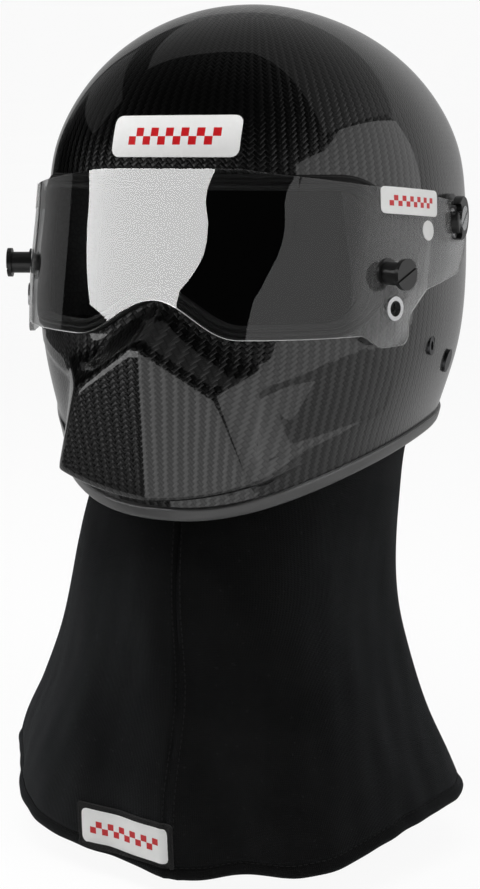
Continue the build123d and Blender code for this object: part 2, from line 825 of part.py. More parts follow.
def linings():
    """Crushable foam and comfort pads, each clear of the next."""
    shell_face = body_form(shell_wall + lining_fit)
    keep = side_prism(
        (
            (-far, lining_brow_z),
            (lining_front_y, lining_brow_z),
            (lining_front_y, lining_ear_z),
            (lining_ear_y, lining_ear_z),
            (lining_ear_y, lining_strap_z),
            (lining_nape_y, lining_strap_z),
            (lining_nape_y, lining_foot_z),
            (far, lining_foot_z),
            (far, far),
            (-far, far),
        )
    )
    pads = {"crown_foam_liner": (shell_face - body_form(foam_inner)) & keep}
    soft = body_form(foam_inner + lining_fit) - body_form(pad_inner)
    pads["crown_comfort_pad"] = soft & side_box(-far, far, crown_pad_z, far)
    pads["brow_comfort_pad"] = soft & side_box(-far, far, lining_brow_z, band_top_z)
    pads["nape_comfort_pad"] = soft & side_box(lining_nape_y, far, lining_foot_z, nape_pad_top_z)
    chin = full_form(shell_wall + lining_fit) - body_form(chin_foam_inner)
    chin = chin & side_box(-far, chin_back_y, -far, cheek_top_z)
    pads["chin_foam_liner"] = chin - below_rim(lining_rim_lift + band_lap)
    cheek = shell_face - body_form(cheek_pad_inner)
    cheek = cheek & side_box(chin_back_y + lining_fit, cheek_back_y, -far, cheek_top_z)
    cheek = cheek - below_rim(lining_rim_lift + band_lap)
    for side, name in sides:
        room_start = anchor_face_x - anchor_length - anchor_pocket_fit
        room_radius = anchor_flange_radius + anchor_pocket_fit
        room = rod((0, anchor_y, anchor_z), (side, 0, 0), room_radius, room_start, far)
        pads["cheek_pad_" + name] = (cheek & half_space(side)) - room
    return pads


def build():
    """All sub-parts by node name."""
    shell = outer_shell()
    parts = {
        "outer_shell": shell,
        "base_trim": base_trim(shell),
        "eyeport_gasket": eyeport_gasket(shell),
        "visor_shield": shield(),
        "visor_dots": Compound(children=[piece.solid() for piece in dots()]),
        "forehead_label": front_label(),
        "neck_skirt": neck_skirt(),
        "skirt_band": skirt_band(),
        "skirt_label": hem_label(),
        "ratchet_screws": Compound(children=[piece.solid() for piece in ratchet_screws()]),
        "strap_rivets": Compound(children=[piece.solid() for piece in rivets()]),
    }
    parts.update(linings())
    bolts = []
    screws = []
    for side, name in sides:
        base, plate, cap, screw = pivot_parts(side)
        parts["pivot_base_" + name] = base
        parts["ratchet_plate_" + name] = plate
        parts["pivot_cap_" + name] = cap
        screws.append(screw)
        post, bolt = tear_off_parts(side)
        parts["tear_off_post_" + name] = post
        bolts.append(bolt)
        ring, stud = detent_parts(side)
        parts["detent_ring_" + name] = ring
        parts["detent_stud_" + name] = stud
        parts["visor_label_" + name] = side_label(side)
        parts["restraint_anchor_" + name] = anchor(side)
        parts["strap_hanger_" + name] = strap_hanger(side)
    loop, centre = strap_loop()
    parts["chin_strap_left"] = strap(1, strap_long_z)
    parts["chin_strap_right"] = strap(-1, strap_short_z) + loop
    parts["d_rings"] = Compound(children=[ring.solid() for ring in d_rings(centre)])
    parts["pivot_screws"] = Compound(children=[screw.solid() for screw in screws])
    parts["tear_off_bolts"] = Compound(children=[bolt.solid() for bolt in bolts])
    return parts


if __name__ == "__main__":
    os.makedirs("parts", exist_ok=True)
    for name, shape in build().items():
        export_step(shape, "parts/" + name + ".step")
        print(name, "solids", len(shape.solids()), "volume", round(shape.volume))
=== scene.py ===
"""Looks of a full-face auto racing helmet: carbon shell, clear shield and knitted neck skirt.

Shapes are worked out in millimetres and made in metres. The helmet faces -Y and +X is the wearer's left.
A place on the body form is (round, up): millimetres round it from the middle of the front, and up it from its foot.
"""

from functools import lru_cache
from math import cos, pi, radians, sin, sqrt, tan

import bmesh
import bpy
import numpy as np
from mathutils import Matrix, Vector
from mathutils.bvhtree import BVHTree
from mathutils.geometry import delaunay_2d_cdt


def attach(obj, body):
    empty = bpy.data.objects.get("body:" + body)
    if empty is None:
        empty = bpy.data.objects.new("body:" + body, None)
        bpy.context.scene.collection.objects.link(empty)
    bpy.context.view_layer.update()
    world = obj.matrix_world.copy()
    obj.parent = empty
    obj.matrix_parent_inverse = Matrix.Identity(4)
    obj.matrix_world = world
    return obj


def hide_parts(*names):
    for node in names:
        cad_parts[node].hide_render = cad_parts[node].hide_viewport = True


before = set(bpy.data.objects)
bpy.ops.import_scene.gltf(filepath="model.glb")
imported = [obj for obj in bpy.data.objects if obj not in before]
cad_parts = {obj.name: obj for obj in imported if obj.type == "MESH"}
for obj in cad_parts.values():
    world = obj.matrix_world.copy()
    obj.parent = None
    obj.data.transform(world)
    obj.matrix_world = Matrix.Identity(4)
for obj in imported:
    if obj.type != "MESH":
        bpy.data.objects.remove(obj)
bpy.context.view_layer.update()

MM = 0.001
FAR = 1e9
TINY = 1e-9
SIDES = ((1, "left"), (-1, "right"))
# Rays for pieces laid on a skin start this far out.
CAST_FROM = 260.0
# Map units to a millimetre, in the weave and cloth maps.
MAP_SHARE = 0.01

# Level sections of the shell: height, half width, front and back reach; then the crown above the brow.
SHELL_LEVELS = (
    (-156.0, 86.0, 137.0, 112.0),
    (-135.0, 94.5, 141.5, 125.0),
    (-112.0, 101.0, 144.0, 135.0),
    (-78.0, 110.5, 145.0, 148.0),
    (-34.0, 114.5, 141.0, 153.0),
    (8.0, 113.5, 127.0, 147.0),
)
CROWN_HEIGHT = 108.0
CROWN_LEAN = 13.0
CROWN_DEGS = (15, 30, 45, 58, 70, 80, 86)
FRONT_POWER = 2.3
BACK_POWER = 2.15
LEVEL_POINTS = 24
SHELL_WALL = 3.0

# Rim as (y, z), with its slopes.
RIM_FRONT = (-141.0, -144.5)
RIM_SIDE = (-34.0, -117.5)
RIM_BACK = (125.0, -115.0)
RIM_FRONT_SLOPE = 0.5
RIM_SIDE_SLOPE = 0.0863

# Chin: top and foot heights, then (top, foot) pairs.
CHIN_TOP_Z = -30.0
CHIN_FOOT_Z = -152.0
CHIN_CREASE = (171.0, 158.5)
CHIN_PANEL_HALF = (21.0, 62.0)
CHIN_PANEL_REACH = (167.0, 145.5)
CHIN_CHEEK_HALF = (86.0, 76.0)
CHIN_CHEEK_REACH = (96.0, 84.0)
CHIN_NOSE_ROUND = 1.2
CHIN_ROUNDING = 2.6
# Chevron ridge and scoop floor: distance from the centre plane, then reach and height of the ridge and of
# the floor's back, and the floor's sag.
SCOOPS = (
    (0.0, 171.0, -58.5, 138.0, -38.0, 0.0),
    (4.0, 171.0, -58.5, 138.0, -38.0, 1.0),
    (37.0, 161.0, -80.5, 134.5, -54.0, 3.0),
    (60.0, 132.0, -73.0, 124.0, -56.0, 1.5),
    (80.0, 109.0, -64.5, 106.0, -61.5, 1.0),
)
# Lip under the chin: its height at the centre plane, and at the cheeks.
LIP_Z = -136.0
LIP_SIDE_HALF = 90.0
LIP_SIDE_Z = -106.0
LIP_ROUNDING = 0.7
LIP_FALL = 14.0

EYEPORT_HALF = 93.0
EYEPORT_TOP_Z = 19.0
EYEPORT_SIDE_Z = -34.0
EYEPORT_LOW_HALF = 80.0
EYEPORT_LOW_Z = -49.5
EYEPORT_NOSE_HALF = 44.0
EYEPORT_NOSE_Z = -31.0
EYEPORT_CORNER = 14.0
EYEPORT_CUT_Y = (-260.0, -50.0)

# Shell's grid, finer over the chin: column steps, and rows below the lip, at it, up to the chin's top and above.
FRONT_STEP = 1.9
BACK_STEP = 4.2
FRONT_SPAN = 152.0
ROWS_FROM_RIM = (4, 12, 50)
HIGH_ROWS = 68
# The weave's flat chart starts this far below the pole.
TOP_CHART_DROP = 62.0
# Cheek recess corners as (round, height), and its depth, which fades away from its deep end.
RECESS_CORNERS = (
    (74.0, -75.0), (60.0, -79.0), (57.0, -82.5), (63.5, -112.5),
    (69.0, -115.0), (138.0, -97.0), (140.0, -80.0), (112.0, -64.0),
)
RECESS_DEPTH = 1.9
RECESS_DEEP_END = (66.0, -113.0)
RECESS_LONG = 78.0

# Sections of the rim trim as (lift, inset), and of the eyeport seal as (growth, lift).
TRIM_PROFILE = (
    (2.0, 0.0), (2.0, -0.9), (1.7, -1.5), (1.1, -1.75), (0.5, -1.8), (-0.5, -1.85), (-1.5, -1.9),
    (-2.7, -1.9), (-4.2, -1.8), (-5.3, -1.3), (-5.9, -0.4), (-6.0, 0.8), (-6.0, 2.4), (-5.8, 3.7),
    (-5.0, 4.6), (-2.0, 4.8), (0.8, 4.8), (1.7, 4.4), (2.0, 3.1), (-0.4, 3.0), (-0.4, 0.0),
)
SEAL_PROFILE = (
    (6.0, 0.0), (5.9, 0.9), (5.3, 1.6), (4.6, 1.6), (4.1, 0.9), (3.6, 0.9), (3.1, 1.9), (2.3, 2.1),
    (1.7, 1.1), (1.2, 1.1), (0.7, 2.1), (-0.2, 2.2), (-1.1, 1.6), (-1.6, 0.6), (-1.6, -3.4),
    (-0.8, -4.4), (2.0, -4.6), (5.2, -4.5), (6.0, -3.8), (6.0, -3.05), (0.15, -3.0), (0.15, -0.05),
)

SHIELD_GAP = 3.8
SHIELD_WALL = 2.6
SHIELD_LAP = 5.0
SHIELD_TOP_Z = 28.0
SHIELD_FOOT_Z = -52.0
SHIELD_END_Z = -54.5
SHIELD_FRONT_Y = -221.0
# How straight the shield is from top to foot, out to the first place round it; past the second it follows the form.
SHIELD_STRAIGHT_SHARE = 0.85
STRAIGHT_ROUND = 92.0
CURVED_ROUND = 132.0
# Corners of the shield's end as (y, z, radius).
SHIELD_SIDE = (
    (SHIELD_FRONT_Y, SHIELD_TOP_Z, 1.0),
    (-127.4, SHIELD_TOP_Z, 30.0),
    (-2.6, 7.84, 9.0),
    (3.9, -11.2, 14.0),
    (-11.7, -28.0, 9.0),
    (-55.9, -34.16, 14.0),
    (-71.5, -46.48, 7.0),
    (-70.85, -61.6, 5.0),
    (-91.0, -61.6, 5.0),
    (-101.4, SHIELD_END_Z, 8.0),
    (SHIELD_FRONT_Y, SHIELD_END_Z, 1.0),
)
TOE = radians(22.0)
# Holes through the shield: place, toe and radius.
SHIELD_HOLES = (
    ((0, -14.5, 1.0), 0.0, 6.06),
    ((101.0, -86.0, -24.0), TOE, 2.2),
    ((104.0, -83.0, -42.0), TOE, 5.6),
)
# Bores across the shell as (y, z), with their radii and reach.
ANCHOR_PLACE = (-30.0, -67.0)
ANCHOR_BORE = 5.25
RIVET_PLACE = (7.5, -80.0)
RIVET_BORE = 3.06
BORE_FROM = 60.0
SHELL_BORE_END = 200.0
STRAP_BORE_END = 130.0
BORE_SIDES = 40

LABEL_LIFT = 0.34
LABEL_BED = 0.04
LABEL_STRIP_LONG = 6.0
# Outlines of the labels as (half width, half height, corner), and their places.
BROW_LABEL = (35.0, 10.25, 4.0)
BROW_LABEL_PLACE = (0, 0, 43.75)
SHIELD_LABEL = (21.0, 6.75, 2.2)
SHIELD_LABEL_PLACE = (0, -65.0, 11.0)
SHIELD_LABEL_TILT = radians(4.8)
DOT_RADIUS = 5.2
DOT_PLACE = (0, -54.0, -4.0)
SKIRT_LABEL = (27.5, 10.0, 3.0)
SKIRT_LABEL_BACKING = (30.5, 13.0, 1.5)
SKIRT_LABEL_SEAM = (29.2, 11.7, 1.2)
SKIRT_LABEL_PLACE = (-21.0, 0, -324.0)

# Skirt rows from the rim to below the hem: height, centre, half width, reach and fold.
SKIRT_LEVELS = (
    (-104.0, -2.8, 94.0, 132.0, 0.2),
    (-135.0, -7.9, 85.2, 123.3, 0.3),
    (-165.0, -24.0, 88.0, 114.0, 1.0),
    (-197.0, -38.0, 92.0, 104.0, 1.6),
    (-245.0, -46.0, 104.0, 92.0, 2.6),
    (-274.0, -50.0, 115.0, 93.0, 3.6),
    (-296.0, -50.0, 125.0, 97.0, 4.4),
    (-318.0, -46.0, 133.0, 101.0, 5.0),
    (-352.0, -39.0, 147.0, 106.0, 5.6),
)
FOLD_DEGS = (-8, 14, 38, 62, 84, 104, 126, 150, 172, 196, 222, 246, 262, 278, 296, 322)
FOLD_SWELL = (1.0, -0.7, 0.8, -0.9, 0.6, -0.5, 0.9, -0.6, 1.0, -0.8, 0.5, -0.4, 0.5, -0.6, 0.7, -0.8)
SKIRT_DRIFT_DEG = 4.0
SKIRT_RIPPLE = 0.2
SKIRT_WALL = 3.0
SKIRT_COLUMNS = 336
SKIRT_ROWS = 140
SKIRT_MAP_RADIUS = 118.0
SKIRT_MIDDLE = (0, -40.0)
# Hem seen from the side: one arc through (y, z) at the front, side and back.
HEM_ARC = ((-199.0, -375.0), (-39.0, -318.0), (121.0, -366.0))
HEM_ROLL = 6.0
HEM_GROOVE = HEM_ROLL + 1.2
SEAM_RADIUS = 125.0
SEAM_GAP = 3.0

# Insets of the pads' two faces and of their middle, under the crown and at the cheeks.
PAD_BACK = 29.3
PAD_FACE = 37.0
PAD_MIDDLE = 33.0
CHEEK_BACK = 14.0
CHEEK_FACE = 34.5
CHEEK_MIDDLE = 20.0
PAD_EDGE_SHARE = 0.08
PAD_ROWS = 26
# Heights of the pads' lower and upper edges.
BROW_PAD_Z = (27.0, 48.6)
CROWN_PAD_LOW_Z = 51.0
NAPE_PAD_Z = (-86.0, 18.0)
CHEEK_PAD_TOP_Z = -58.5

# Upper bends of the straps as (x, z), then each strap's side, name, foot and the foot of its seam.
STRAP_BENDS = ((97.3, -70.3), (97.3, -90.0), (75.1, -112.0))
STRAPS = ((1, "left", -225.0, -205.0), (-1, "right", -190.0, -178.0))
STRAP_WIDE = 24.6
STRAP_WALL = 1.6
STRAP_MIDDLE_Y = 7.5
STRAP_HALF = 53.1
LOOP_RADIUS = 4.45
LOOP_Z = -194.5

TOW_MM = 2.05
# Carbon base colours; the lighter one is reached by painted sheen on the warp tows and the tows' middles, and by the
# fibre streaks.
CARBON_DARK = 0.001
CARBON_SHEEN_AND_STREAKS = 0.052
KNIT_WALE_MM = 1.0
KNIT_COURSE_MM = 0.9
KNIT_DARK = 0.0004
KNIT_LIGHT = 0.0072

# CAD pieces that keep their shape, by finish; a name that ends in an underscore is a left and right pair.
KEPT_SHAPES = {
    "black_plastic": ("pivot_base_", "pivot_cap_", "tear_off_post_", "detent_stud_"),
    "smoke_plastic": ("ratchet_plate_",),
    "aluminium": ("pivot_screws",),
    "steel": ("ratchet_screws", "detent_ring_", "strap_hanger_", "d_rings"),
    "dark_steel": ("tear_off_bolts", "restraint_anchor_", "strap_rivets"),
    "foam": ("crown_foam_liner", "chin_foam_liner"),
    "hook_tape": ("skirt_band",),
}

CAMERA_TURN = radians(22.0)
CAMERA_RISE = radians(11.0)
CAMERA_FAR = 0.900
CAMERA_AIM = (-0.011, -0.0045, -0.135)
CAMERA_SENSOR = 36.0
CAMERA_LENS = CAMERA_SENSOR * 1512.0 / 889.0

# Stage in metres.
FLOOR_Z = -0.353
STAGE_HALF = 2.6
STAGE_SPLIT_Y = -0.3
STAGE_NEAR_Y = -5.0
STAGE_FAR_Y = 2.4
STAGE_TOP_Z = 2.2
STAGE_BEND = 0.5
STAGE_GLOW = 0.93
STAGE_IN_GLOSS = 0.38
# Soft lamps: name, place, aim, width, height and watts.
LAMPS = (
    ("left_soft_lamp", (-1.7, -0.5, 0.9), (0, 0, -0.05), 0.9, 1.8, 42),
    ("right_soft_lamp", (1.8, -0.3, 0.7), (0, 0, -0.05), 0.8, 1.8, 40),
    ("top_soft_lamp", (0.2, -0.6, 1.9), (0, 0, 0), 1.4, 1.0, 35),
)
# Cards that show in gloss: name, brightness and corners. These show in every piece.
OPEN_CARDS = (
    ("high_left_card", 0.12, ((-1.5, -0.25, 0.45), (-1.5, 1.2, 0.45), (-1.5, 1.2, 1.4), (-1.5, -0.25, 1.4))),
    ("right_card", 0.95, (
        (0.98, -1.14, -0.36), (1.4, 1.3, -0.36), (1.4, 1.3, 1.05), (1.3, -0.2, 1.05), (1.2, -0.62, 0.66),
        (0.98, -1.1, 0.45),
    )),
    ("front_floor_card", 1.0, ((-0.10, -0.3, -0.35), (2.4, -0.3, -0.35), (2.4, -2.4, -0.35), (-0.40, -2.4, -0.35))),
    ("ceiling_card", 0.19, (
        (-1.2, 0.1, 1.6), (-0.1, 0.1, 1.6), (0.95, -0.32, 1.6), (1.9, -0.7, 1.6), (1.9, 1.9, 1.6), (-1.2, 1.9, 1.6),
    )),
)
# This one shows in the shell and its trim alone.
CHIN_CARDS = (
    ("low_left_card", 2.4, ((-1.30, -0.70, -0.34), (-0.30, -1.40, -0.34), (-0.30, -1.40, 0.26), (-1.30, -0.70, 0.26))),
)
# These show in the clear shield alone.
SHIELD_CARDS = (
    ("shield_left_card", 11.0, (
        (-1.20, -0.93, -0.02), (-0.45, -1.41, 0.03), (-0.40, -1.41, 0.38), (-0.37, -1.40, 0.49),
        (-0.155, -1.42, 0.575), (0.10, -1.45, 0.72), (-1.45, -0.40, 0.72), (-1.29, -0.64, 0.38), (-1.19, -0.88, 0.25),
    )),
    ("shield_right_card", 0.95, (
        (0.50, -1.45, -0.34), (1.00, -1.12, -0.34), (1.00, -1.08, 0.50), (0.87, -1.16, 0.49), (0.74, -1.24, 0.47),
        (0.60, -1.34, 0.42), (0.56, -1.38, 0.34),
    )),
    ("shield_far_left_card", 0.35, ((-1.45, -0.3, -0.3), (-1.45, 1.0, -0.3), (-1.45, 1.0, 0.7), (-1.45, -0.3, 0.7))),
)


# ---------------------------------------------------------------- smooth curves and the shell's form


def cubic_bends(knots, period=0.0):
    """Matrix that turns values at the knots into the bends of the smooth curve through them."""
    count = len(knots)
    gaps = np.diff(np.append(knots, knots[0] + period)) if period else np.diff(knots)
    bends, pulls = np.zeros((2, count, count))
    for i in range(count):
        if not period and i in (0, count - 1):
            bends[i, i] = 1
            continue
        before, after = gaps[i - 1], gaps[i]
        left, right = (i - 1) % count, (i + 1) % count
        bends[i, left] += before
        bends[i, i] += 2 * (before + after)
        bends[i, right] += after
        pulls[i, left] += 6 / before
        pulls[i, i] -= 6 / before + 6 / after
        pulls[i, right] += 6 / after
    return np.linalg.solve(bends, pulls)


def cubic_weights(knots, bends, places, period=0.0):
    """Weights that read the smooth curve at the places; a period closes it."""
    places = np.asarray(places, float).ravel()
    if period:
        places = knots[0] + (places - knots[0]) % period
        ends = np.append(knots, knots[0] + period)
    else:
        places = np.clip(places, knots[0], knots[-1])
        ends = np.asarray(knots, float)
    i = np.clip(np.searchsorted(ends, places, side="right") - 1, 0, len(ends) - 2)
    gap = ends[i + 1] - ends[i]
    near = (places - ends[i]) / gap
    far = 1 - near
    j = (i + 1) % len(knots)
    weights = np.zeros((len(places), len(knots)))
    for column, share in ((i, far), (j, near)):
        np.add.at(weights, (np.arange(len(places)), column), share)
        weights += ((share**3 - share) * gap**2 / 6)[:, None] * bends[column]
    return weights


def smooth_through(knots, values, places, period=0.0):
    """Values of the smooth curve through the knots."""
    knots = np.asarray(knots, float)
    return cubic_weights(knots, cubic_bends(knots, period), places, period) @ np.asarray(values, float)


def level_points(half, front, back, shift, z):
    """Points of one level outline, blunter than an ellipse."""
    turn = 2 * pi * np.arange(LEVEL_POINTS) / LEVEL_POINTS
    behind = np.sin(turn) >= 0
    power = np.where(behind, BACK_POWER, FRONT_POWER)
    x = np.sign(np.cos(turn)) * half * np.abs(np.cos(turn)) ** (2 / power)
    y = np.where(behind, back, -front) * np.abs(np.sin(turn)) ** (2 / power) - shift
    return np.stack([x, y, np.full(LEVEL_POINTS, z)], -1)


@lru_cache(maxsize=None)
def form_rows(inset):
    """Level outlines from the foot over the crown and down the far side, drawn in by the inset."""
    rows = [level_points(h - inset, f - inset, b - inset, 0, z) for z, h, f, b in SHELL_LEVELS]
    brow_z, *brow_sizes = SHELL_LEVELS[-1]
    for deg in CROWN_DEGS + (90,):
        share = cos(radians(deg))
        z = brow_z + (CROWN_HEIGHT - inset) * sin(radians(deg))
        sizes = [(size - inset) * share for size in brow_sizes]
        rows.append(level_points(*sizes, CROWN_LEAN * (1 - share), z))
    over = [np.roll(row, LEVEL_POINTS // 2, axis=0) for row in rows[-2:-10:-1]]
    return np.array(rows + over)


def run_lengths(points):
    """Length along an open path at each of its points."""
    return np.concatenate([[0], np.cumsum(np.linalg.norm(np.diff(points, axis=0), axis=1))])


UP_STEPS = np.linalg.norm(np.diff(form_rows(0), axis=0), axis=2).mean(1)
UP_KNOTS = np.concatenate([[0], np.cumsum(UP_STEPS)])
POLE_UP = UP_KNOTS[len(SHELL_LEVELS) + len(CROWN_DEGS)]
UP_TABLE = np.linspace(0, POLE_UP, 1500)
EYE_ROW = form_rows(0)[4]
ROUND_STEPS = np.linalg.norm(np.roll(EYE_ROW, -1, axis=0) - EYE_ROW, axis=1)
GIRTH = float(ROUND_STEPS.sum())
ROUND_KNOTS = run_lengths(EYE_ROW)
ROUND_KNOTS = ROUND_KNOTS - ROUND_KNOTS[LEVEL_POINTS * 3 // 4]
UP_BENDS = cubic_bends(UP_KNOTS)
ROUND_BENDS = cubic_bends(ROUND_KNOTS, GIRTH)


def form_points(rounds, ups, inset=0.0):
    """Points of the body form at places round it and up it."""
    rounds, ups = np.broadcast_arrays(np.asarray(rounds, float), np.asarray(ups, float))
    up_part = cubic_weights(UP_KNOTS, UP_BENDS, ups) @ form_rows(inset).reshape(len(UP_KNOTS), -1)
    round_part = cubic_weights(ROUND_KNOTS, ROUND_BENDS, rounds, GIRTH)
    points = np.einsum("nc,nck->nk", round_part, up_part.reshape(-1, LEVEL_POINTS, 3))
    return points.reshape(rounds.shape + (3,))


def up_at(z, inset=0.0):
    """Place up the form that lies at a height."""
    heights = cubic_weights(UP_KNOTS, UP_BENDS, UP_TABLE) @ form_rows(inset)[:, 0, 2]
    return np.interp(z, heights, UP_TABLE)


def soft_max(a, b, rounding):
    """Greater of two values, with a rounded change."""
    return (a + b + np.sqrt((a - b) ** 2 + rounding**2)) / 2


def soft_min(a, b, rounding):
    """Lesser of two values, with a rounded change."""
    return -soft_max(-a, -b, rounding)


def lip_z(x):
    """Height of the chin's lip at a distance from the centre plane."""
    rise = LIP_SIDE_Z - LIP_Z
    radius = (LIP_SIDE_HALF**2 + rise**2) / (2 * rise)
    return LIP_Z + radius - np.sqrt(radius**2 - np.minimum(np.abs(x), LIP_SIDE_HALF) ** 2)


def chin_reach(x, z, inset):
    """How far forward the creased chin reaches, under its chevron ridge and scoops."""
    share = np.clip((z - CHIN_TOP_Z) / (CHIN_FOOT_Z - CHIN_TOP_Z), -0.3, 1.1)
    pairs = (CHIN_CREASE, CHIN_PANEL_HALF, CHIN_PANEL_REACH, CHIN_CHEEK_HALF, CHIN_CHEEK_REACH)
    crease, panel_half, panel_reach, cheek_half, cheek_reach = (a + (b - a) * share for a, b in pairs)
    out = np.sqrt(x**2 + CHIN_NOSE_ROUND**2) - CHIN_NOSE_ROUND + inset
    panel = crease - (crease - panel_reach) * out / panel_half
    cheek = panel_reach - (panel_reach - cheek_reach) * (out - panel_half) / (cheek_half - panel_half)
    reach = soft_min(panel, cheek, CHIN_ROUNDING) - 4 * np.maximum(out - cheek_half, 0)
    reach = reach - 5 * np.maximum(z - CHIN_TOP_Z, 0)
    places, *tables = np.array(SCOOPS).T
    far_x = np.minimum(np.abs(x), places[-1])
    ridge_reach, ridge_z, back_reach, back_z, sag = (np.interp(far_x, places, table) for table in tables)
    middle_reach = (ridge_reach + back_reach) / 2 - sag
    middle_z = (ridge_z + back_z) / 2 - sag / 2
    low_slope = (ridge_reach - middle_reach) / (ridge_z - middle_z)
    high_slope = (middle_reach - back_reach) / (middle_z - back_z)
    low_part = ridge_reach + low_slope * (z - ridge_z)
    high_part = middle_reach + high_slope * (z - middle_z)
    floor = np.maximum(np.maximum(low_part, high_part), back_reach)
    below_lip = soft_max(lip_z(x) + inset - z, 0, LIP_ROUNDING)
    return soft_min(reach, floor, CHIN_ROUNDING) - inset - LIP_FALL * below_lip


def shell_points(rounds, ups, inset=0.0):
    """Points of the whole shell, body and chin, drawn in by the inset."""
    points = form_points(rounds, ups, inset)
    x, y, z = points[..., 0], points[..., 1], points[..., 2]
    near = (np.abs(x) < 96) & (y < -45) & (z < -24)
    rounding = np.where(z < lip_z(x) + 4, LIP_ROUNDING, CHIN_ROUNDING)
    points[..., 1] = -np.where(near, soft_max(-y, chin_reach(x, z, inset), rounding), -y)
    return points


def rim_z(y):
    """Height of the rim, seen from the side."""
    y = np.clip(y, RIM_FRONT[0], RIM_BACK[0])
    out = np.empty_like(y)
    halves = (
        (RIM_FRONT, RIM_SIDE, RIM_FRONT_SLOPE, RIM_SIDE_SLOPE),
        (RIM_SIDE, RIM_BACK, RIM_SIDE_SLOPE, 0),
    )
    for start, end, start_slope, end_slope in halves:
        run = end[0] - start[0]
        t = np.clip((y - start[0]) / run, 0, 1)
        value = (2 * t**3 - 3 * t**2 + 1) * start[1] + (t**3 - 2 * t**2 + t) * run * start_slope
        value += (3 * t**2 - 2 * t**3) * end[1] + (t**3 - t**2) * run * end_slope
        out = np.where((y >= start[0]) & (y <= end[0]), value, out)
    return out


def rim_up(rounds, lift=0.0, inset=0.0):
    """Place up the form where the rim, moved by the lift, crosses each column."""
    z = np.full(len(rounds), -125.0)
    for _ in range(8):
        z = rim_z(form_points(rounds, up_at(z, inset), inset)[:, 1]) + lift
    return up_at(z, inset)


# ---------------------------------------------------------------- outlines


def bent_line(start, start_way, end, end_way, steps=14):
    """Smooth line between two points that leaves and arrives along given ways."""
    start, end = np.array(start, float), np.array(end, float)
    third = np.linalg.norm(end - start) / 3
    a, b = start + third * np.array(start_way), end - third * np.array(end_way)
    t = np.linspace(0, 1, steps)[:, None]
    return (1 - t) ** 3 * start + 3 * (1 - t) ** 2 * t * a + 3 * (1 - t) * t**2 * b + t**3 * end


def mirrored(half):
    """Closed loop from its half on the wearer's left."""
    return np.concatenate([half, half[-2:0:-1] * (-1, 1)])


def read_path(path, places, wanted):
    """Points of a path at wanted lengths along it."""
    return np.stack([np.interp(wanted, places, path[:, k]) for k in range(path.shape[1])], -1)


def even_loop(loop, step):
    """Closed loop with its points set again at even steps."""
    closed = np.concatenate([loop, loop[:1]])
    places = run_lengths(closed)
    count = max(8, int(round(places[-1] / step)))
    return read_path(closed, places, np.linspace(0, places[-1], count, endpoint=False))


def eyeport_outline():
    """Closed eyeport outline seen from the front, in even steps."""
    corner_x, corner_z = EYEPORT_HALF - EYEPORT_CORNER, EYEPORT_TOP_Z - EYEPORT_CORNER
    turn = np.linspace(pi / 2, 0, 10)
    corner = np.stack([corner_x + EYEPORT_CORNER * np.cos(turn), corner_z + EYEPORT_CORNER * np.sin(turn)], -1)
    side = bent_line((EYEPORT_HALF, EYEPORT_SIDE_Z), (0, -1), (EYEPORT_LOW_HALF, EYEPORT_LOW_Z), (-1, 0))
    nose = bent_line((EYEPORT_NOSE_HALF, EYEPORT_LOW_Z), (-1, 0), (0, EYEPORT_NOSE_Z), (-1, 0), 24)
    return even_loop(mirrored(np.concatenate([[(0, EYEPORT_TOP_Z)], corner, side, nose])), 2.0)


def rounded_path(corners):
    """Open path through (a, b, radius) corners with round bends."""
    spots = np.array(corners, float)[:, :2]
    path = [spots[0]]
    for before, here, after, corner in zip(spots, spots[1:], spots[2:], corners[1:]):
        one, two = before - here, after - here
        one, two = one / np.linalg.norm(one), two / np.linalg.norm(two)
        half_angle = np.arccos(np.clip(one @ two, -1, 1)) / 2
        radius = corner[2]
        back = radius / tan(half_angle)
        middle = here + (one + two) / np.linalg.norm(one + two) * radius / sin(half_angle)
        start, end = here + one * back - middle, here + two * back - middle
        for t in np.linspace(0, 1, 9):
            blend = start * (1 - t) + end * t
            path.append(middle + blend / np.linalg.norm(blend) * radius)
    return np.array(path + [spots[-1]])


def rounded_rectangle(half_wide, half_high, corner):
    """Closed outline of a rounded rectangle about the origin."""
    loop = []
    for across, up, start in ((1, 1, 0), (-1, 1, 90), (-1, -1, 180), (1, -1, 270)):
        turn = np.radians(np.linspace(start, start + 90, 8))
        x, y = across * (half_wide - corner), up * (half_high - corner)
        loop.append(np.stack([x + corner * np.cos(turn), y + corner * np.sin(turn)], -1))
    return np.concatenate(loop)


def inside_loop(points, loop):
    """Which points lie inside a closed loop."""
    x, y = points[:, 0], points[:, 1]
    inside = np.zeros(len(points), bool)
    for (x1, y1), (x2, y2) in zip(loop, np.roll(loop, -1, axis=0)):
        crosses = (y1 > y) != (y2 > y)
        inside ^= crosses & (x < (x2 - x1) * (y - y1) / (y2 - y1 + 1e-12) + x1)
    return inside


def loop_distance(points, loop):
    """Distance of each point from a closed loop."""
    least = np.full(len(points), FAR)
    for start, end in zip(loop, np.roll(loop, -1, axis=0)):
        run = end - start
        t = np.clip(((points - start) @ run) / (run @ run + 1e-12), 0, 1)
        least = np.minimum(least, np.linalg.norm(points - start - t[:, None] * run, axis=1))
    return least


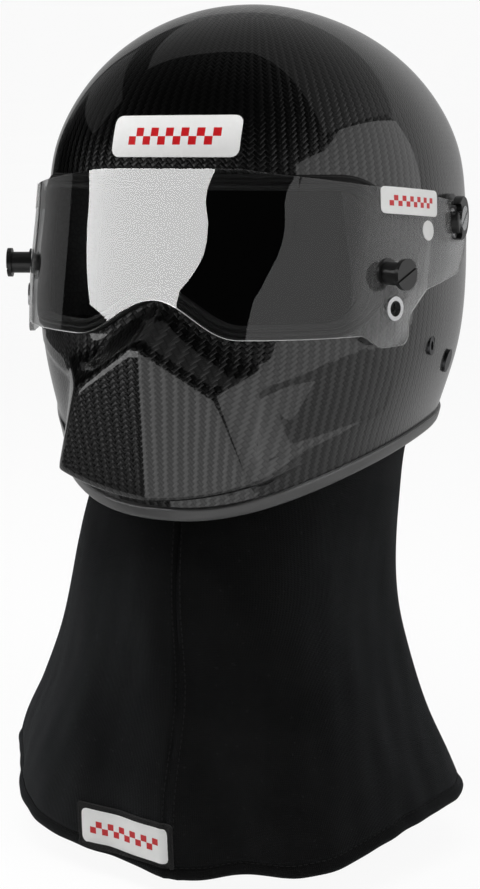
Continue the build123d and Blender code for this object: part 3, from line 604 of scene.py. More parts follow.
def fill_outline(outline, holes, step):
    """Triangles inside an outline and outside its holes: (places, triangles, boundary loops)."""
    loops = [np.asarray(outline, float)] + [np.asarray(hole, float) for hole in holes]
    low, high = loops[0].min(0), loops[0].max(0)
    inner = []
    for k, z in enumerate(np.arange(low[1] + step / 2, high[1], step * sqrt(3) / 2)):
        xs = np.arange(low[0] + (k % 2) * step / 2, high[0], step)
        inner.append(np.stack([xs, np.full_like(xs, z)], -1))
    inner = np.concatenate(inner)

    def within(points):
        keep = inside_loop(points, loops[0])
        for hole in loops[1:]:
            keep &= ~inside_loop(points, hole)
        return keep

    keep = within(inner)
    for loop in loops:
        keep &= loop_distance(inner, loop) > step * 0.45
    edges, rings, start = [], [], 0
    for loop in loops:
        count = len(loop)
        edges += [(start + i, start + (i + 1) % count) for i in range(count)]
        rings.append(np.arange(start, start + count))
        start += count
    places = np.concatenate(loops + [inner[keep]])
    found = delaunay_2d_cdt([Vector(p) for p in places], edges, [], 0, 1e-6, True)
    new_places = np.array([tuple(p) for p in found[0]])
    back_to = np.array([originals[0] if originals else -1 for originals in found[3]])
    triangles = np.array([tuple(face) for face in found[2] if len(face) == 3])
    triangles = back_to[triangles[within(new_places[triangles].mean(1))]]
    return places, triangles[(triangles >= 0).all(1)], rings


# ---------------------------------------------------------------- meshes


def new_object(name, points, faces, finish, edges=()):
    """New mesh object at the origin from points in metres."""
    mesh = bpy.data.meshes.new(name)
    mesh.from_pydata(points, edges, faces)
    mesh.materials.append(finish)
    made = bpy.data.objects.new(name, mesh)
    bpy.context.scene.collection.objects.link(made)
    return made


def smooth_faces(mesh, sharp_deg):
    """Smooth shading with sharp edges above an angle."""
    mesh.polygons.foreach_set("use_smooth", np.ones(len(mesh.polygons), bool))
    mesh.set_sharp_from_angle(angle=radians(sharp_deg))


def face_outwards(piece):
    """Turns every face of a closed piece outwards."""
    work = bmesh.new()
    work.from_mesh(piece.data)
    bmesh.ops.recalc_face_normals(work, faces=work.faces)
    work.to_mesh(piece.data)
    work.free()


def make_piece(name, points, faces, finish, sharp_deg=None, outwards=True):
    """New piece at the origin from points in millimetres."""
    faces = [tuple(int(v) for v in face) for face in faces]
    piece = new_object(name, (np.asarray(points, float) * MM).tolist(), faces, finishes[finish])
    piece.data.validate()
    if sharp_deg is not None:
        smooth_faces(piece.data, sharp_deg)
    if outwards:
        face_outwards(piece)
    return piece


def settle(piece, body, slot, *nodes):
    """Gives a piece its body and hides the nodes that it stands for; its slot is not used."""
    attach(piece, body)
    if nodes:
        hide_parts(*nodes)


def grid_faces(rows, columns, closed_round, start=0, flip=False):
    """Quads of a grid of points, row after row."""
    i, j = np.meshgrid(np.arange(rows - 1), np.arange(columns if closed_round else columns - 1), indexing="ij")
    k = (j + 1) % columns
    corners = (i * columns + j, i * columns + k, (i + 1) * columns + k, (i + 1) * columns + j)
    quads = np.stack(corners, -1).reshape(-1, 4) + start
    return quads[:, ::-1] if flip else quads


def double_skin_faces(rows, columns, closed):
    """Faces of two matching grids, with walls along their edges."""
    shift, last = rows * columns, (rows - 1) * columns
    faces = list(grid_faces(rows, columns, closed)) + list(grid_faces(rows, columns, closed, shift, True))
    for j in range(columns if closed else columns - 1):
        k = (j + 1) % columns
        faces += [(j, k, k + shift, j + shift), (last + k, last + j, last + j + shift, last + k + shift)]
    for a in range(0, 0 if closed else last, columns):
        b, c, d = a + columns, a + columns - 1, a + 2 * columns - 1
        faces += [(b, a, a + shift, b + shift), (c, d, d + shift, c + shift)]
    return faces


def swept_ring(name, loops, finish, sharp_deg):
    """Closed ring from profile loops: loops[profile place][path place]."""
    loops = np.array(loops).transpose(1, 0, 2)
    path, profile, _ = loops.shape
    i, j = np.meshgrid(np.arange(path), np.arange(profile), indexing="ij")
    a, b = (i + 1) % path, (j + 1) % profile
    quads = np.stack([i * profile + j, a * profile + j, a * profile + b, i * profile + b], -1).reshape(-1, 4)
    return make_piece(name, loops.reshape(-1, 3), quads, finish, sharp_deg)


def thick_skin(name, outer, inner, triangles, rings, finish):
    """Closed thin solid from two matching skins of triangles, with walls along its loops."""
    count = len(outer)
    a, b, c = (outer[triangles[:, k]] for k in range(3))
    out_way = (outer - inner)[triangles].mean(1)
    turned = np.einsum("nk,nk->n", np.cross(b - a, c - a), out_way) < 0
    triangles = np.where(turned[:, None], triangles[:, ::-1], triangles)
    faces = [tuple(t) for t in triangles] + [tuple(t[::-1] + count) for t in triangles]
    for ring in rings:
        faces += [(i, j, j + count, i + count) for i, j in zip(ring, np.roll(ring, -1))]
    return make_piece(name, np.concatenate([outer, inner]), faces, finish, 40)


def settle_modifiers(piece):
    """Makes what the modifiers show into the piece's own mesh."""
    bpy.context.view_layer.update()
    shown = piece.evaluated_get(bpy.context.evaluated_depsgraph_get())
    result = bpy.data.meshes.new_from_object(shown)
    piece.modifiers.clear()
    piece.data = result


def cut_with(piece, cutters):
    """Takes the cutters' room out of a piece and leaves a plain mesh."""
    solvers = bpy.types.BooleanModifier.bl_rna.properties["solver"].enum_items
    for cutter in cutters:
        step = piece.modifiers.new("cut", "BOOLEAN")
        step.operation = "DIFFERENCE"
        step.solver = "MANIFOLD" if "MANIFOLD" in solvers.keys() else "EXACT"
        step.object = cutter
    settle_modifiers(piece)
    for cutter in cutters:
        bpy.data.objects.remove(cutter)
    smooth_faces(piece.data, 50)


def bar_cutter(near, far):
    """Bar between two matching loops, used to cut."""
    count = len(near)
    faces = [(i, (i + 1) % count, count + (i + 1) % count, count + i) for i in range(count)]
    faces += [tuple(range(count - 1, -1, -1)), tuple(range(count, 2 * count))]
    return make_piece("cutter", np.concatenate([near, far]), faces, "rubber")


def bore_cutter(side, place, radius, end):
    """Round bar along X at a (y, z) place, used to cut a bore."""
    turn = 2 * pi * np.arange(BORE_SIDES) / BORE_SIDES
    y, z = place[0] - side * radius * np.cos(turn), place[1] + radius * np.sin(turn)
    return bar_cutter(*(np.stack([np.full(BORE_SIDES, side * x), y, z], -1) for x in (BORE_FROM, end)))


def surface_tree(points, faces):
    """Search tree of a surface in millimetres."""
    return BVHTree.FromPolygons([tuple(p) for p in points], [tuple(int(v) for v in f) for f in faces])


def cast_on(tree, starts, way):
    """Hits and outward normals where rays from the starts meet a surface."""
    way = Vector(way)
    hits, normals = [], []
    for start in starts:
        hit, normal, _, _ = tree.ray_cast(Vector(start), way)
        if hit is None:
            hit, normal, _, _ = tree.find_nearest(Vector(start) + way * 200)
        if normal.dot(way) > 0:
            normal = -normal
        hits.append(tuple(hit))
        normals.append(tuple(normal))
    return np.array(hits), np.array(normals)


def surface_normals(grid):
    """Normals of a grid of rows round a piece, outward where the rows go up."""
    round_way = np.roll(grid, -1, axis=1) - np.roll(grid, 1, axis=1)
    normals = np.cross(round_way, np.gradient(grid, axis=0))
    return normals / np.maximum(np.linalg.norm(normals, axis=-1, keepdims=True), TINY)


def read_all(items, name, kind=int, size=1):
    """All values of a property of mesh items, in one array."""
    values = np.empty(len(items) * size, kind)
    items.foreach_get(name, values)
    return values


def corner_faces(mesh):
    """The face that each corner belongs to."""
    return np.repeat(np.arange(len(mesh.polygons)), read_all(mesh.polygons, "loop_total"))


def face_least(face_of, values):
    """Least of the corners' values on each face, for all its corners."""
    least = np.full(face_of[-1] + 1, FAR)
    np.minimum.at(least, face_of, values)
    return least[face_of]


def unwrapped(face_of, u, around):
    """Places round a closed form, moved on by one turn where their face crosses its start."""
    wraps = -face_least(face_of, -u) - face_least(face_of, u) > around / 2
    return np.where(wraps & (u < around / 2), u + around, u)


def lay_map(mesh, name, u, v, share):
    """UV map from one place for each corner."""
    mesh.uv_layers.new(name=name).data.foreach_set("uv", np.stack([u, v], -1).ravel() * share)


# ---------------------------------------------------------------- nodes


class Wire:
    """Output of a node; plain arithmetic with it makes Math nodes."""

    def __init__(self, socket):
        self.socket = socket
        self.tree = socket.id_data

    def reckon(self, operation, *others):
        """Output of a Math node that starts from this one."""
        inputs = {"i%d" % (k + 1): value for k, value in enumerate(others)}
        return wire(self.tree, "ShaderNodeMath", {"operation": operation}, i0=self, **inputs)

    def __add__(self, other):
        return self.reckon("ADD", other)

    def __sub__(self, other):
        return self.reckon("SUBTRACT", other)

    def __rsub__(self, other):
        return self.reckon("MULTIPLY_ADD", -1.0, other)

    def __mul__(self, other):
        return self.reckon("MULTIPLY", other)

    def from_middle(self, power):
        """Power of the distance from the middle of a unit span, one at its ends."""
        return self.reckon("MULTIPLY_ADD", 2.0, -1.0).reckon("ABSOLUTE").reckon("POWER", power)

    def wave(self):
        """Sine wave with a span of one."""
        return (self * (2 * pi)).reckon("SINE")

    def ramp(self, low, high, start, end):
        """Value that goes from the start to the end between low and high."""
        return wire(self.tree, "ShaderNodeMapRange", i0=self, i1=low, i2=high, i3=start, i4=end)

    def parts(self):
        """The three parts of a place."""
        return [Wire(output) for output in node(self.tree, "ShaderNodeSeparateXYZ", i0=self).outputs]


def node(tree, kind, settings=None, **inputs):
    """Node with its settings and inputs; an input is a value or a wire, by number as in i0 or by name."""
    made = tree.nodes.new(kind)
    for key, value in (settings or {}).items():
        setattr(made, key, value)
    for key, value in inputs.items():
        by_number = key[0] == "i" and key[1:].isdigit()
        socket = made.inputs[int(key[1:]) if by_number else key.replace("_", " ")]
        if isinstance(value, Wire):
            tree.links.new(value.socket, socket)
        else:
            socket.default_value = value
    return made


def wire(tree, kind, settings=None, output=0, **inputs):
    """Output of a new node."""
    return Wire(node(tree, kind, settings, **inputs).outputs[output])


def grey(value):
    """Grey colour."""
    return (value, value, value, 1.0)


def blend_colours(share, first, second):
    """Mix of two colours; a number stands for a grey."""
    first, second = (grey(colour) if isinstance(colour, float) else colour for colour in (first, second))
    return wire(share.tree, "ShaderNodeMix", {"data_type": "RGBA"}, 2, i0=share, i6=first, i7=second)


def raised(height, strength, distance, **normal):
    """Normal of a raised surface; the distance is in metres."""
    return wire(height.tree, "ShaderNodeBump", Strength=strength, Distance=distance, Height=height, **normal)


def speckle(places, scale, detail=3.0, roughness=0.55):
    """Noise at the places."""
    settings = dict(Vector=places, Scale=scale, Detail=detail, Roughness=roughness)
    return wire(places.tree, "ShaderNodeTexNoise", **settings)


def new_finish(name):
    """Empty material and its node tree."""
    material = bpy.data.materials.new(name)
    material.use_nodes = True
    material.node_tree.nodes.clear()
    return material, material.node_tree


def to_surface(tree, kind="ShaderNodeBsdfPrincipled", **inputs):
    """Shader wired to the material's output."""
    node(tree, "ShaderNodeOutputMaterial", i0=wire(tree, kind, **inputs))


def mixed_shaders(tree, share, first, second):
    """Mix of two shaders."""
    return wire(tree, "ShaderNodeMixShader", i0=share, i1=first, i2=second)


def object_places(tree):
    """Object coordinates."""
    return wire(tree, "ShaderNodeTexCoord", output="Object")


def map_places(tree, name):
    """Coordinates of a UV map."""
    return wire(tree, "ShaderNodeUVMap", {"uv_map": name})


# ---------------------------------------------------------------- finishes


def carbon_finish():
    """Two-by-two twill of carbon tows at 45 degrees under a smooth clear coat, with painted sheen on the warp tows and
    painted shade where the tows dip.
    """
    material, tree = new_finish("clear_coated_carbon")
    uv = map_places(tree, "weave")
    u, v, _ = uv.parts()
    u = u + (speckle(uv, 9.0, 1.0) - 0.5) * 0.012
    scale = 1 / MAP_SHARE / TOW_MM / sqrt(2)
    a, b = (u + v) * scale, (u - v) * scale
    a_cell, b_cell = a.reckon("FLOOR"), b.reckon("FLOOR")
    a_in, b_in = a - a_cell, b - b_cell
    step = (a_cell + b_cell).reckon("FLOORED_MODULO", 4.0)
    warp = step.reckon("LESS_THAN", 1.5)
    weft = 1.0 - warp
    along, across = a_in * warp + b_in * weft, b_in * warp + a_in * weft
    crown = ((step.reckon("FLOORED_MODULO", 2.0) + along) * 0.5).from_middle(3.0)
    height = 1.0 - crown.reckon("MAXIMUM", across.from_middle(2.5))
    fibre_a = wire(tree, "ShaderNodeCombineXYZ", i0=a * 0.25, i1=b * 9.0)
    fibre_b = wire(tree, "ShaderNodeCombineXYZ", i0=a * 9.0, i1=b * 0.25)
    fibre = speckle(fibre_a, 1.0, 2.0) * warp + speckle(fibre_b, 1.0, 2.0) * weft
    # Painted sheen and shade: warp tows are always lighter than weft tows, standing in for tows that catch the light
    # by their direction, and each tow is darker where it dips at its edges and ends; the fibre streaks are the
    # carbon's own tone.
    tone = warp * 0.55 + height * 0.35 + fibre * 0.25
    to_surface(
        tree, Base_Color=blend_colours(tone, CARBON_DARK, CARBON_SHEEN_AND_STREAKS), Metallic=1.0, Roughness=0.34,
        Coat_Weight=1.0, Coat_Roughness=0.025, Coat_IOR=1.5, Specular_IOR_Level=0.12,
        Normal=raised(height + fibre * 0.35, 0.9, 0.00022),
    )
    return material


def clear_shield_finish():
    """Clear moulded plastic that lets lamp light through, with a painted reflection towards its ends: a little matte
    pale grey mixed in.
    """
    material, tree = new_finish("clear_moulded_plastic")
    places = object_places(tree)
    tint = blend_colours(speckle(places, 14.0), (0.955, 0.965, 0.965, 1), (0.985, 0.99, 0.99, 1))
    clear = wire(
        tree, "ShaderNodeBsdfPrincipled", Base_Color=tint, Roughness=0.0, IOR=1.58, Transmission_Weight=1.0
    )
    # Painted reflection: past the eyeport's sides the clear plastic takes on a little matte pale grey, standing in for
    # the reflection that lightens it there.
    painted_reflection_share = places.parts()[0].reckon("ABSOLUTE").ramp(0.088, 0.103, 0.0, 0.085)
    wear_and_painted_reflection = mixed_shaders(tree, painted_reflection_share, clear, wire(tree, "ShaderNodeBsdfDiffuse", Color=grey(0.8)))
    through = wire(tree, "ShaderNodeBsdfTransparent", Color=grey(0.9))
    lamp_ray = wire(tree, "ShaderNodeLightPath", output="Is Shadow Ray")
    to_surface(tree, "ShaderNodeMixShader", i0=lamp_ray, i1=wear_and_painted_reflection, i2=through)
    return material


def speckled_finish(name, dark, light, roughness, scale):
    """Plain surface with faint raised marks."""
    material, tree = new_finish(name)
    marks = speckle(object_places(tree), scale)
    shade = blend_colours(marks, dark, light)
    to_surface(tree, Base_Color=shade, Roughness=roughness, Normal=raised(marks, 0.2, 0.00003))
    return material


def moulded_finish(name, value, roughness, grain, bump, specular=0.5):
    """Moulded plastic or rubber with a fine grain and faint marks."""
    material, tree = new_finish(name)
    places = object_places(tree)
    broad = speckle(places, 32.0, 4.0)
    to_surface(
        tree, Base_Color=blend_colours(broad, value * 0.75, value),
        Roughness=broad * 0.12 + (roughness - 0.06), Specular_IOR_Level=specular,
        Normal=raised(speckle(places, grain, 2.0), 0.6, bump),
    )
    return material


def metal_finish(name, colour, roughness, turned=0.0):
    """Bare metal with fine turning marks and a little tarnish."""
    material, tree = new_finish(name)
    places = object_places(tree)
    stretched = wire(tree, "ShaderNodeMapping", Vector=places, Scale=(1.0, 1.0 + turned, 40.0))
    marks = speckle(stretched, 260.0, 2.0)
    tarnished = tuple(c * 0.82 for c in colour) + (1.0,)
    to_surface(
        tree, Base_Color=blend_colours(speckle(places, 90.0), tarnished, colour + (1.0,)), Metallic=1.0,
        Roughness=marks * 0.14 + (roughness - 0.05), Normal=raised(marks, 0.35, 0.00002),
    )
    return material


def knit_finish():
    """Fine black double-knit: rows of loops, lint and faint dye change."""
    material, tree = new_finish("black_double_knit")
    u, v, _ = map_places(tree, "cloth").parts()
    wale = u * (1 / MAP_SHARE / KNIT_WALE_MM)
    bend = (wale.reckon("FRACT") - 0.5).reckon("ABSOLUTE") * 1.1
    course = v * (1 / MAP_SHARE / KNIT_COURSE_MM) + bend
    stitch = (wale.wave() * 0.7 + course.wave()).reckon("MULTIPLY_ADD", 0.3, 0.5)
    places = object_places(tree)
    fuzz, patchy = speckle(places, 1500.0, 2.0), speckle(places, 26.0, 5.0, 0.65)
    tone = fuzz.reckon("MULTIPLY_ADD", 0.35, stitch) * patchy.ramp(0.35, 0.65, 0.45, 1.0)
    lint = speckle(places, 420.0, 1.0).ramp(0.71, 0.76, 0.0, 0.35)
    coarse = raised(patchy, 0.5, 0.0011)
    to_surface(
        tree, Base_Color=blend_colours(lint, blend_colours(tone, KNIT_DARK, KNIT_LIGHT), 0.035), Roughness=0.95,
        Sheen_Weight=0.1, Sheen_Roughness=0.45, Sheen_Tint=(0.8, 0.85, 0.9, 1), Specular_IOR_Level=0.12,
        Normal=raised(stitch + fuzz * 0.6, 0.9, 0.0003, Normal=coarse),
    )
    return material


def cloth_finish(name, dark, light, thread_mm, sheen=0.2, raised_mm=0.12):
    """Plain-woven lining cloth or webbing on Object coordinates."""
    material, tree = new_finish(name)
    places = object_places(tree)
    x, y, z = places.parts()
    threads = 2 * pi / (thread_mm * MM)
    weave = ((x + y) * threads).reckon("SINE") * (z * threads).reckon("SINE")
    weave = weave.reckon("MULTIPLY_ADD", 0.5, 0.5)
    tone = weave * 0.6 + speckle(places, 40.0, 4.0) * 0.4
    to_surface(
        tree, Base_Color=blend_colours(tone, dark, light), Roughness=0.92, Sheen_Weight=sheen,
        Specular_IOR_Level=0.15, Normal=raised(weave, 0.6, raised_mm * MM),
    )
    return material


def foam_finish():
    """Black expanded bead foam."""
    material, tree = new_finish("black_bead_foam")
    voronoi = {"feature": "DISTANCE_TO_EDGE"}
    beads = wire(tree, "ShaderNodeTexVoronoi", voronoi, Vector=object_places(tree), Scale=330.0)
    edge = beads.ramp(0.0, 0.18, 0.0, 1.0)
    to_surface(tree, Base_Color=blend_colours(edge, 0.006, 0.02), Roughness=0.7, Normal=raised(edge, 0.5, 0.0003))
    return material


def label_finish():
    """White printed vinyl with a red two-row racing chequer strip."""
    material, tree = new_finish("chequered_label_vinyl")
    uv = map_places(tree, "print")
    across, up = (part.reckon("ABSOLUTE") for part in uv.parts()[:2])
    in_strip = up.reckon("LESS_THAN", 1.0) * across.reckon("LESS_THAN", LABEL_STRIP_LONG)
    squares = wire(tree, "ShaderNodeTexChecker", output=1, Vector=uv, Scale=1.0)
    wear_and_painted_reflection = speckle(object_places(tree), 300.0, 3.0)
    white = blend_colours(wear_and_painted_reflection, (0.80, 0.80, 0.79, 1), (0.86, 0.86, 0.85, 1))
    red = blend_colours(wear_and_painted_reflection, (0.52, 0.010, 0.014, 1), (0.60, 0.016, 0.02, 1))
    shade = blend_colours(squares * in_strip, white, red)
    to_surface(tree, Base_Color=shade, Roughness=0.3, Normal=raised(wear_and_painted_reflection, 0.2, 0.00003))
    return material


finishes = {
    "carbon": carbon_finish(),
    "clear": clear_shield_finish(),
    "cut_edge": speckled_finish("cut_plastic_edge", 0.30, 0.62, 0.25, 120.0),
    "rubber": moulded_finish("rim_rubber", 0.14, 0.30, 700.0, 0.00004),
    "seal": moulded_finish("eyeport_seal_rubber", 0.006, 0.5, 600.0, 0.00005, 0.3),
    "black_plastic": moulded_finish("black_moulded_plastic", 0.012, 0.3, 1100.0, 0.00002),
    "smoke_plastic": moulded_finish("smoke_moulded_plastic", 0.035, 0.28, 900.0, 0.00002),
    "thread": moulded_finish("black_thread", 0.012, 0.7, 3000.0, 0.00003, 0.2),
    "aluminium": metal_finish("turned_aluminium", (0.80, 0.81, 0.82), 0.24, 8.0),
    "steel": metal_finish("plated_steel", (0.60, 0.60, 0.61), 0.26),
    "dark_steel": metal_finish("blackened_steel", (0.10, 0.10, 0.105), 0.38),
    "knit": knit_finish(),
    "lining": cloth_finish("black_lining_cloth", 0.0025, 0.0075, 1.1, 0.05, 0.05),
    "webbing": cloth_finish("black_webbing", 0.006, 0.028, 1.6, 0.1, 0.25),
    "hook_tape": cloth_finish("black_hook_tape", 0.008, 0.024, 1.3),
    "foam": foam_finish(),
    "label": label_finish(),
    "plain_vinyl": speckled_finish("plain_white_vinyl", (0.70, 0.70, 0.69, 1), (0.80, 0.80, 0.79, 1), 0.35, 300.0),
}


# ---------------------------------------------------------------- shell, rim trim and eyeport seal


def shell_columns():
    """Places round the shell, closer together over the chin."""
    gap = GIRTH - 2 * FRONT_SPAN
    count = int(round(gap / BACK_STEP))
    front = np.arange(-FRONT_SPAN, FRONT_SPAN + 0.1, FRONT_STEP)
    return np.concatenate([front, FRONT_SPAN + gap * np.arange(1, count) / count])


def shell_rows(rounds):
    """Places up each column from the rim to just under the pole, with close rows at the chin's lip."""
    start = rim_up(rounds)
    middle = up_at(CHIN_TOP_Z)
    edge = lip_z(form_points(rounds, up_at(-125.0))[:, 0])
    marks = (start, np.maximum(up_at(edge - 1.7), start + 1.0), up_at(edge + 1.6), middle + 0 * start)
    rows = []
    for begin, end, count in zip(marks, marks[1:], ROWS_FROM_RIM):
        rows.append(begin + (end - begin) * (np.arange(count) / count)[:, None])
    rows.append(marks[-1][None, :])
    rows.append(middle + (POLE_UP - middle) * (np.arange(1, HIGH_ROWS) / HIGH_ROWS)[:, None] + 0 * start)
    return np.concatenate(rows)


def relief(rounds, points):
    """How far the skin is set in: the cheek recesses."""
    from_front = np.abs(np.where(rounds > GIRTH / 2, rounds - GIRTH, rounds))
    places = np.stack([from_front.ravel(), points[..., 2].ravel()], -1)
    corners = np.array(RECESS_CORNERS)
    signed = np.where(inside_loop(places, corners), 1, -1) * loop_distance(places, corners)
    fade = np.clip(1.1 - np.linalg.norm(places - np.array(RECESS_DEEP_END), axis=1) / RECESS_LONG, 0, 1)
    depth = RECESS_DEPTH * fade * np.clip((signed + 0.4) / 2.0, 0, 1)
    return depth.reshape(rounds.shape)


def lay_weave(mesh, rounds, ups):
    """Weave map: millimetres round and up the shell, and a flat chart over the crown."""
    vertex = read_all(mesh.loops, "vertex_index")
    place = vertex % (ups.size + 1)
    u = np.append(np.broadcast_to(rounds, ups.shape).ravel(), 0)[place]
    v = np.append(ups.ravel(), POLE_UP)[place]
    face_of = corner_faces(mesh)
    on_top = (face_least(face_of, v) >= POLE_UP - TOP_CHART_DROP) | (place == ups.size)
    x, y, _ = read_all(mesh.vertices, "co", float, 3).reshape(-1, 3)[vertex].T / MM
    lay_map(mesh, "weave", np.where(on_top, x, unwrapped(face_of, u, GIRTH)), np.where(on_top, -y, v), MAP_SHARE)


def make_shell():
    """Carbon shell with its eyeport and bolt holes, and the search tree of its outer skin."""
    rounds = shell_columns()
    ups = shell_rows(rounds)
    spread = np.broadcast_to(rounds, ups.shape)
    outer, inner = shell_points(spread, ups), shell_points(spread, ups, SHELL_WALL)
    inner[0, :, 2] = outer[0, :, 2]
    outer = outer - relief(spread, outer)[..., None] * surface_normals(outer)
    rows, columns = ups.shape
    last, pole, shift = (rows - 1) * columns, rows * columns, rows * columns + 1
    skin = [tuple(quad) for quad in grid_faces(rows, columns, True)]
    skin += [(last + j, last + (j + 1) % columns, pole) for j in range(columns)]
    points = []
    for side, inset in ((outer, 0.0), (inner, SHELL_WALL)):
        points += [side.reshape(-1, 3), form_points(0.0, POLE_UP, inset)[None]]
    faces = skin + [tuple(v + shift for v in face[::-1]) for face in skin]
    faces += [((j + 1) % columns, j, j + shift, (j + 1) % columns + shift) for j in range(columns)]
    shell = make_piece("carbon_shell", np.concatenate(points), faces, "carbon", 50, outwards=False)
    lay_weave(shell.data, rounds, ups)
    plan = eyeport_outline()
    cutters = [bar_cutter(*([(x, y, z) for x, z in plan] for y in EYEPORT_CUT_Y))]
    for side, _ in SIDES:
        cutters.append(bore_cutter(side, ANCHOR_PLACE, ANCHOR_BORE, SHELL_BORE_END))
        cutters.append(bore_cutter(side, RIVET_PLACE, RIVET_BORE, SHELL_BORE_END))
    cut_with(shell, cutters)
    settle(shell, "helmet", "carbon", "outer_shell")
    return shell, surface_tree(np.concatenate(points[:2]), skin)


def make_trim():
    """Rubber channel pressed on the rim, with a bead along its upper lip."""
    rounds = shell_columns()
    loops = [form_points(rounds, rim_up(rounds, lift, inset), inset) for lift, inset in TRIM_PROFILE]
    trim = swept_ring("rim_trim", loops, "rubber", 40)
    settle(trim, "helmet", "trim_rubber", "base_trim")
    return trim


def make_seal(tree):
    """Ribbed channel seal round the eyeport, bedded on the shell's skin."""
    outline = eyeport_outline()
    way = np.roll(outline, -1, axis=0) - np.roll(outline, 1, axis=0)
    out = np.stack([-way[:, 1], way[:, 0]], -1) / np.linalg.norm(way, axis=1)[:, None]
    from_middle = outline - outline.mean(0)
    if ((from_middle + out * 2) ** 2).sum() < (from_middle**2).sum():
        out = -out
    loops = []
    for grow, lift in SEAL_PROFILE:
        hits, normals = cast_on(tree, [(x, -CAST_FROM, z) for x, z in outline + out * grow], (0, 1, 0))
        loops.append(hits + normals * lift)
    settle(swept_ring("eyeport_seal", loops, "seal", 55), "helmet", "seal_rubber", "eyeport_gasket")


# ---------------------------------------------------------------- shield and what is stuck on it


def round_where(across, value, z, side, inset):
    """Place round the form at a height where its distance along a direction has a value."""
    rounds = np.linspace(0, side * GIRTH * 0.3, 400)
    along = form_points(rounds, np.full(400, float(up_at(z, inset))), inset) @ np.asarray(across, float)
    order = np.argsort(along)
    return float(np.interp(value, along[order], rounds[order]))


def shield_outline(inset):
    """Outline of the shield as places (round, height)."""
    nose_z = EYEPORT_NOSE_Z - SHIELD_LAP
    half = [(0.0, SHIELD_TOP_Z)]
    for y, z in rounded_path(SHIELD_SIDE):
        if y >= form_points(0.0, float(up_at(z, inset)), inset)[1]:
            half.append((round_where((0, 1, 0), y, z, 1, inset), z))
    notch = bent_line((EYEPORT_NOSE_HALF, SHIELD_END_Z), (-1, 0), (0, nose_z), (-1, 0), 26)
    half += [(round_where((1, 0, 0), x, z, 1, inset), z) for x, z in notch[:-1]] + [(0.0, nose_z)]
    half = np.array(half)
    keep = np.concatenate([[True], np.linalg.norm(np.diff(half, axis=0), axis=1) > 0.05])
    return even_loop(mirrored(half[keep]), 2.2)


def round_hole(place, toe, radius, side, inset):
    """Hole through the shield as places (round, height)."""
    across = (side * sin(toe), cos(toe), 0)
    middle = side * place[0] * across[0] + place[1] * across[1]
    loop = []
    for turn in 2 * pi * np.arange(36) / 36:
        z = place[2] + radius * sin(turn)
        loop.append((round_where(across, middle + radius * cos(turn), z, side, inset), z))
    return np.array(loop)


def shield_skin(rounds, z, inset):
    """Skin of the shield: on the form at its ends, and straight from top to foot in front."""
    heights = (z, SHIELD_TOP_Z, SHIELD_FOOT_Z)
    points, top, foot = (form_points(rounds, up_at(at + 0 * z, inset), inset) for at in heights)
    share = (SHIELD_TOP_Z - z) / (SHIELD_TOP_Z - SHIELD_FOOT_Z)
    straight = top + (foot - top) * share[..., None]
    near = np.clip((CURVED_ROUND - np.abs(rounds)) / (CURVED_ROUND - STRAIGHT_ROUND), 0, 1)
    weight = SHIELD_STRAIGHT_SHARE * near * near * (3 - 2 * near)
    return points + (straight - points) * weight[..., None]


def make_shield():
    """Clear shield that follows the shell; also the search tree of its outer skin."""
    middle, outside = -SHIELD_GAP - SHIELD_WALL / 2, -SHIELD_GAP - SHIELD_WALL
    holes = [round_hole(*hole, side, middle) for side, _ in SIDES for hole in SHIELD_HOLES]
    places, triangles, rings = fill_outline(shield_outline(middle), holes, 3.0)
    outer, inner = (shield_skin(places[:, 0], places[:, 1], inset) for inset in (outside, -SHIELD_GAP))
    shield = thick_skin("clear_shield", outer, inner, triangles, rings, "clear")
    shield.data.materials.append(finishes["cut_edge"])
    for polygon in shield.data.polygons:
        polygon.material_index = int(len(polygon.vertices) == 4)
    settle(shield, "visor", "clear_shield", "visor_shield")
    light_with(SHIELD_CARDS, [shield])
    rounds, z = np.meshgrid(np.linspace(-GIRTH * 0.3, GIRTH * 0.3, 240), np.linspace(-60.0, 34.0, 60))
    return surface_tree(shield_skin(rounds, z, outside).reshape(-1, 3), grid_faces(60, 240, False))


def steady_normals(points, triangles, fallback):
    """Vertex normals averaged over the triangles, pointing like the fallback."""
    total = np.zeros_like(points)
    a, b, c = (points[triangles[:, k]] for k in range(3))
    face = np.cross(b - a, c - a)
    side = np.sign(np.einsum("nk,nk->n", face, fallback[triangles[:, 0]]))
    for k in range(3):
        np.add.at(total, triangles[:, k], face * side[:, None])
    length = np.linalg.norm(total, axis=1, keepdims=True)
    return np.where(length > TINY, total / np.maximum(length, TINY), fallback)


def lay_label(name, tree, outline, origin, right, way, lift, finish, print_scale):
    """Thin printed panel laid on a skin: outline about an origin, cast along a way."""
    places, triangles, rings = fill_outline(even_loop(outline, 1.6), [], 2.4)
    right, origin = np.asarray(right, float), np.asarray(origin, float)
    above = np.cross(right, way)
    above = -above if above[2] < 0 else above
    starts = origin + places[:, :1] * right + places[:, 1:] * above - CAST_FROM * np.asarray(way, float)
    hits, normals = cast_on(tree, starts, way)
    normals = steady_normals(hits, triangles, normals)
    panel = thick_skin(name, hits + normals * lift, hits + normals * LABEL_BED, triangles, rings, finish)
    corners = np.concatenate([places, places])[read_all(panel.data.loops, "vertex_index")] / print_scale
    lay_map(panel.data, "print", *corners.T, 1.0)
    return panel


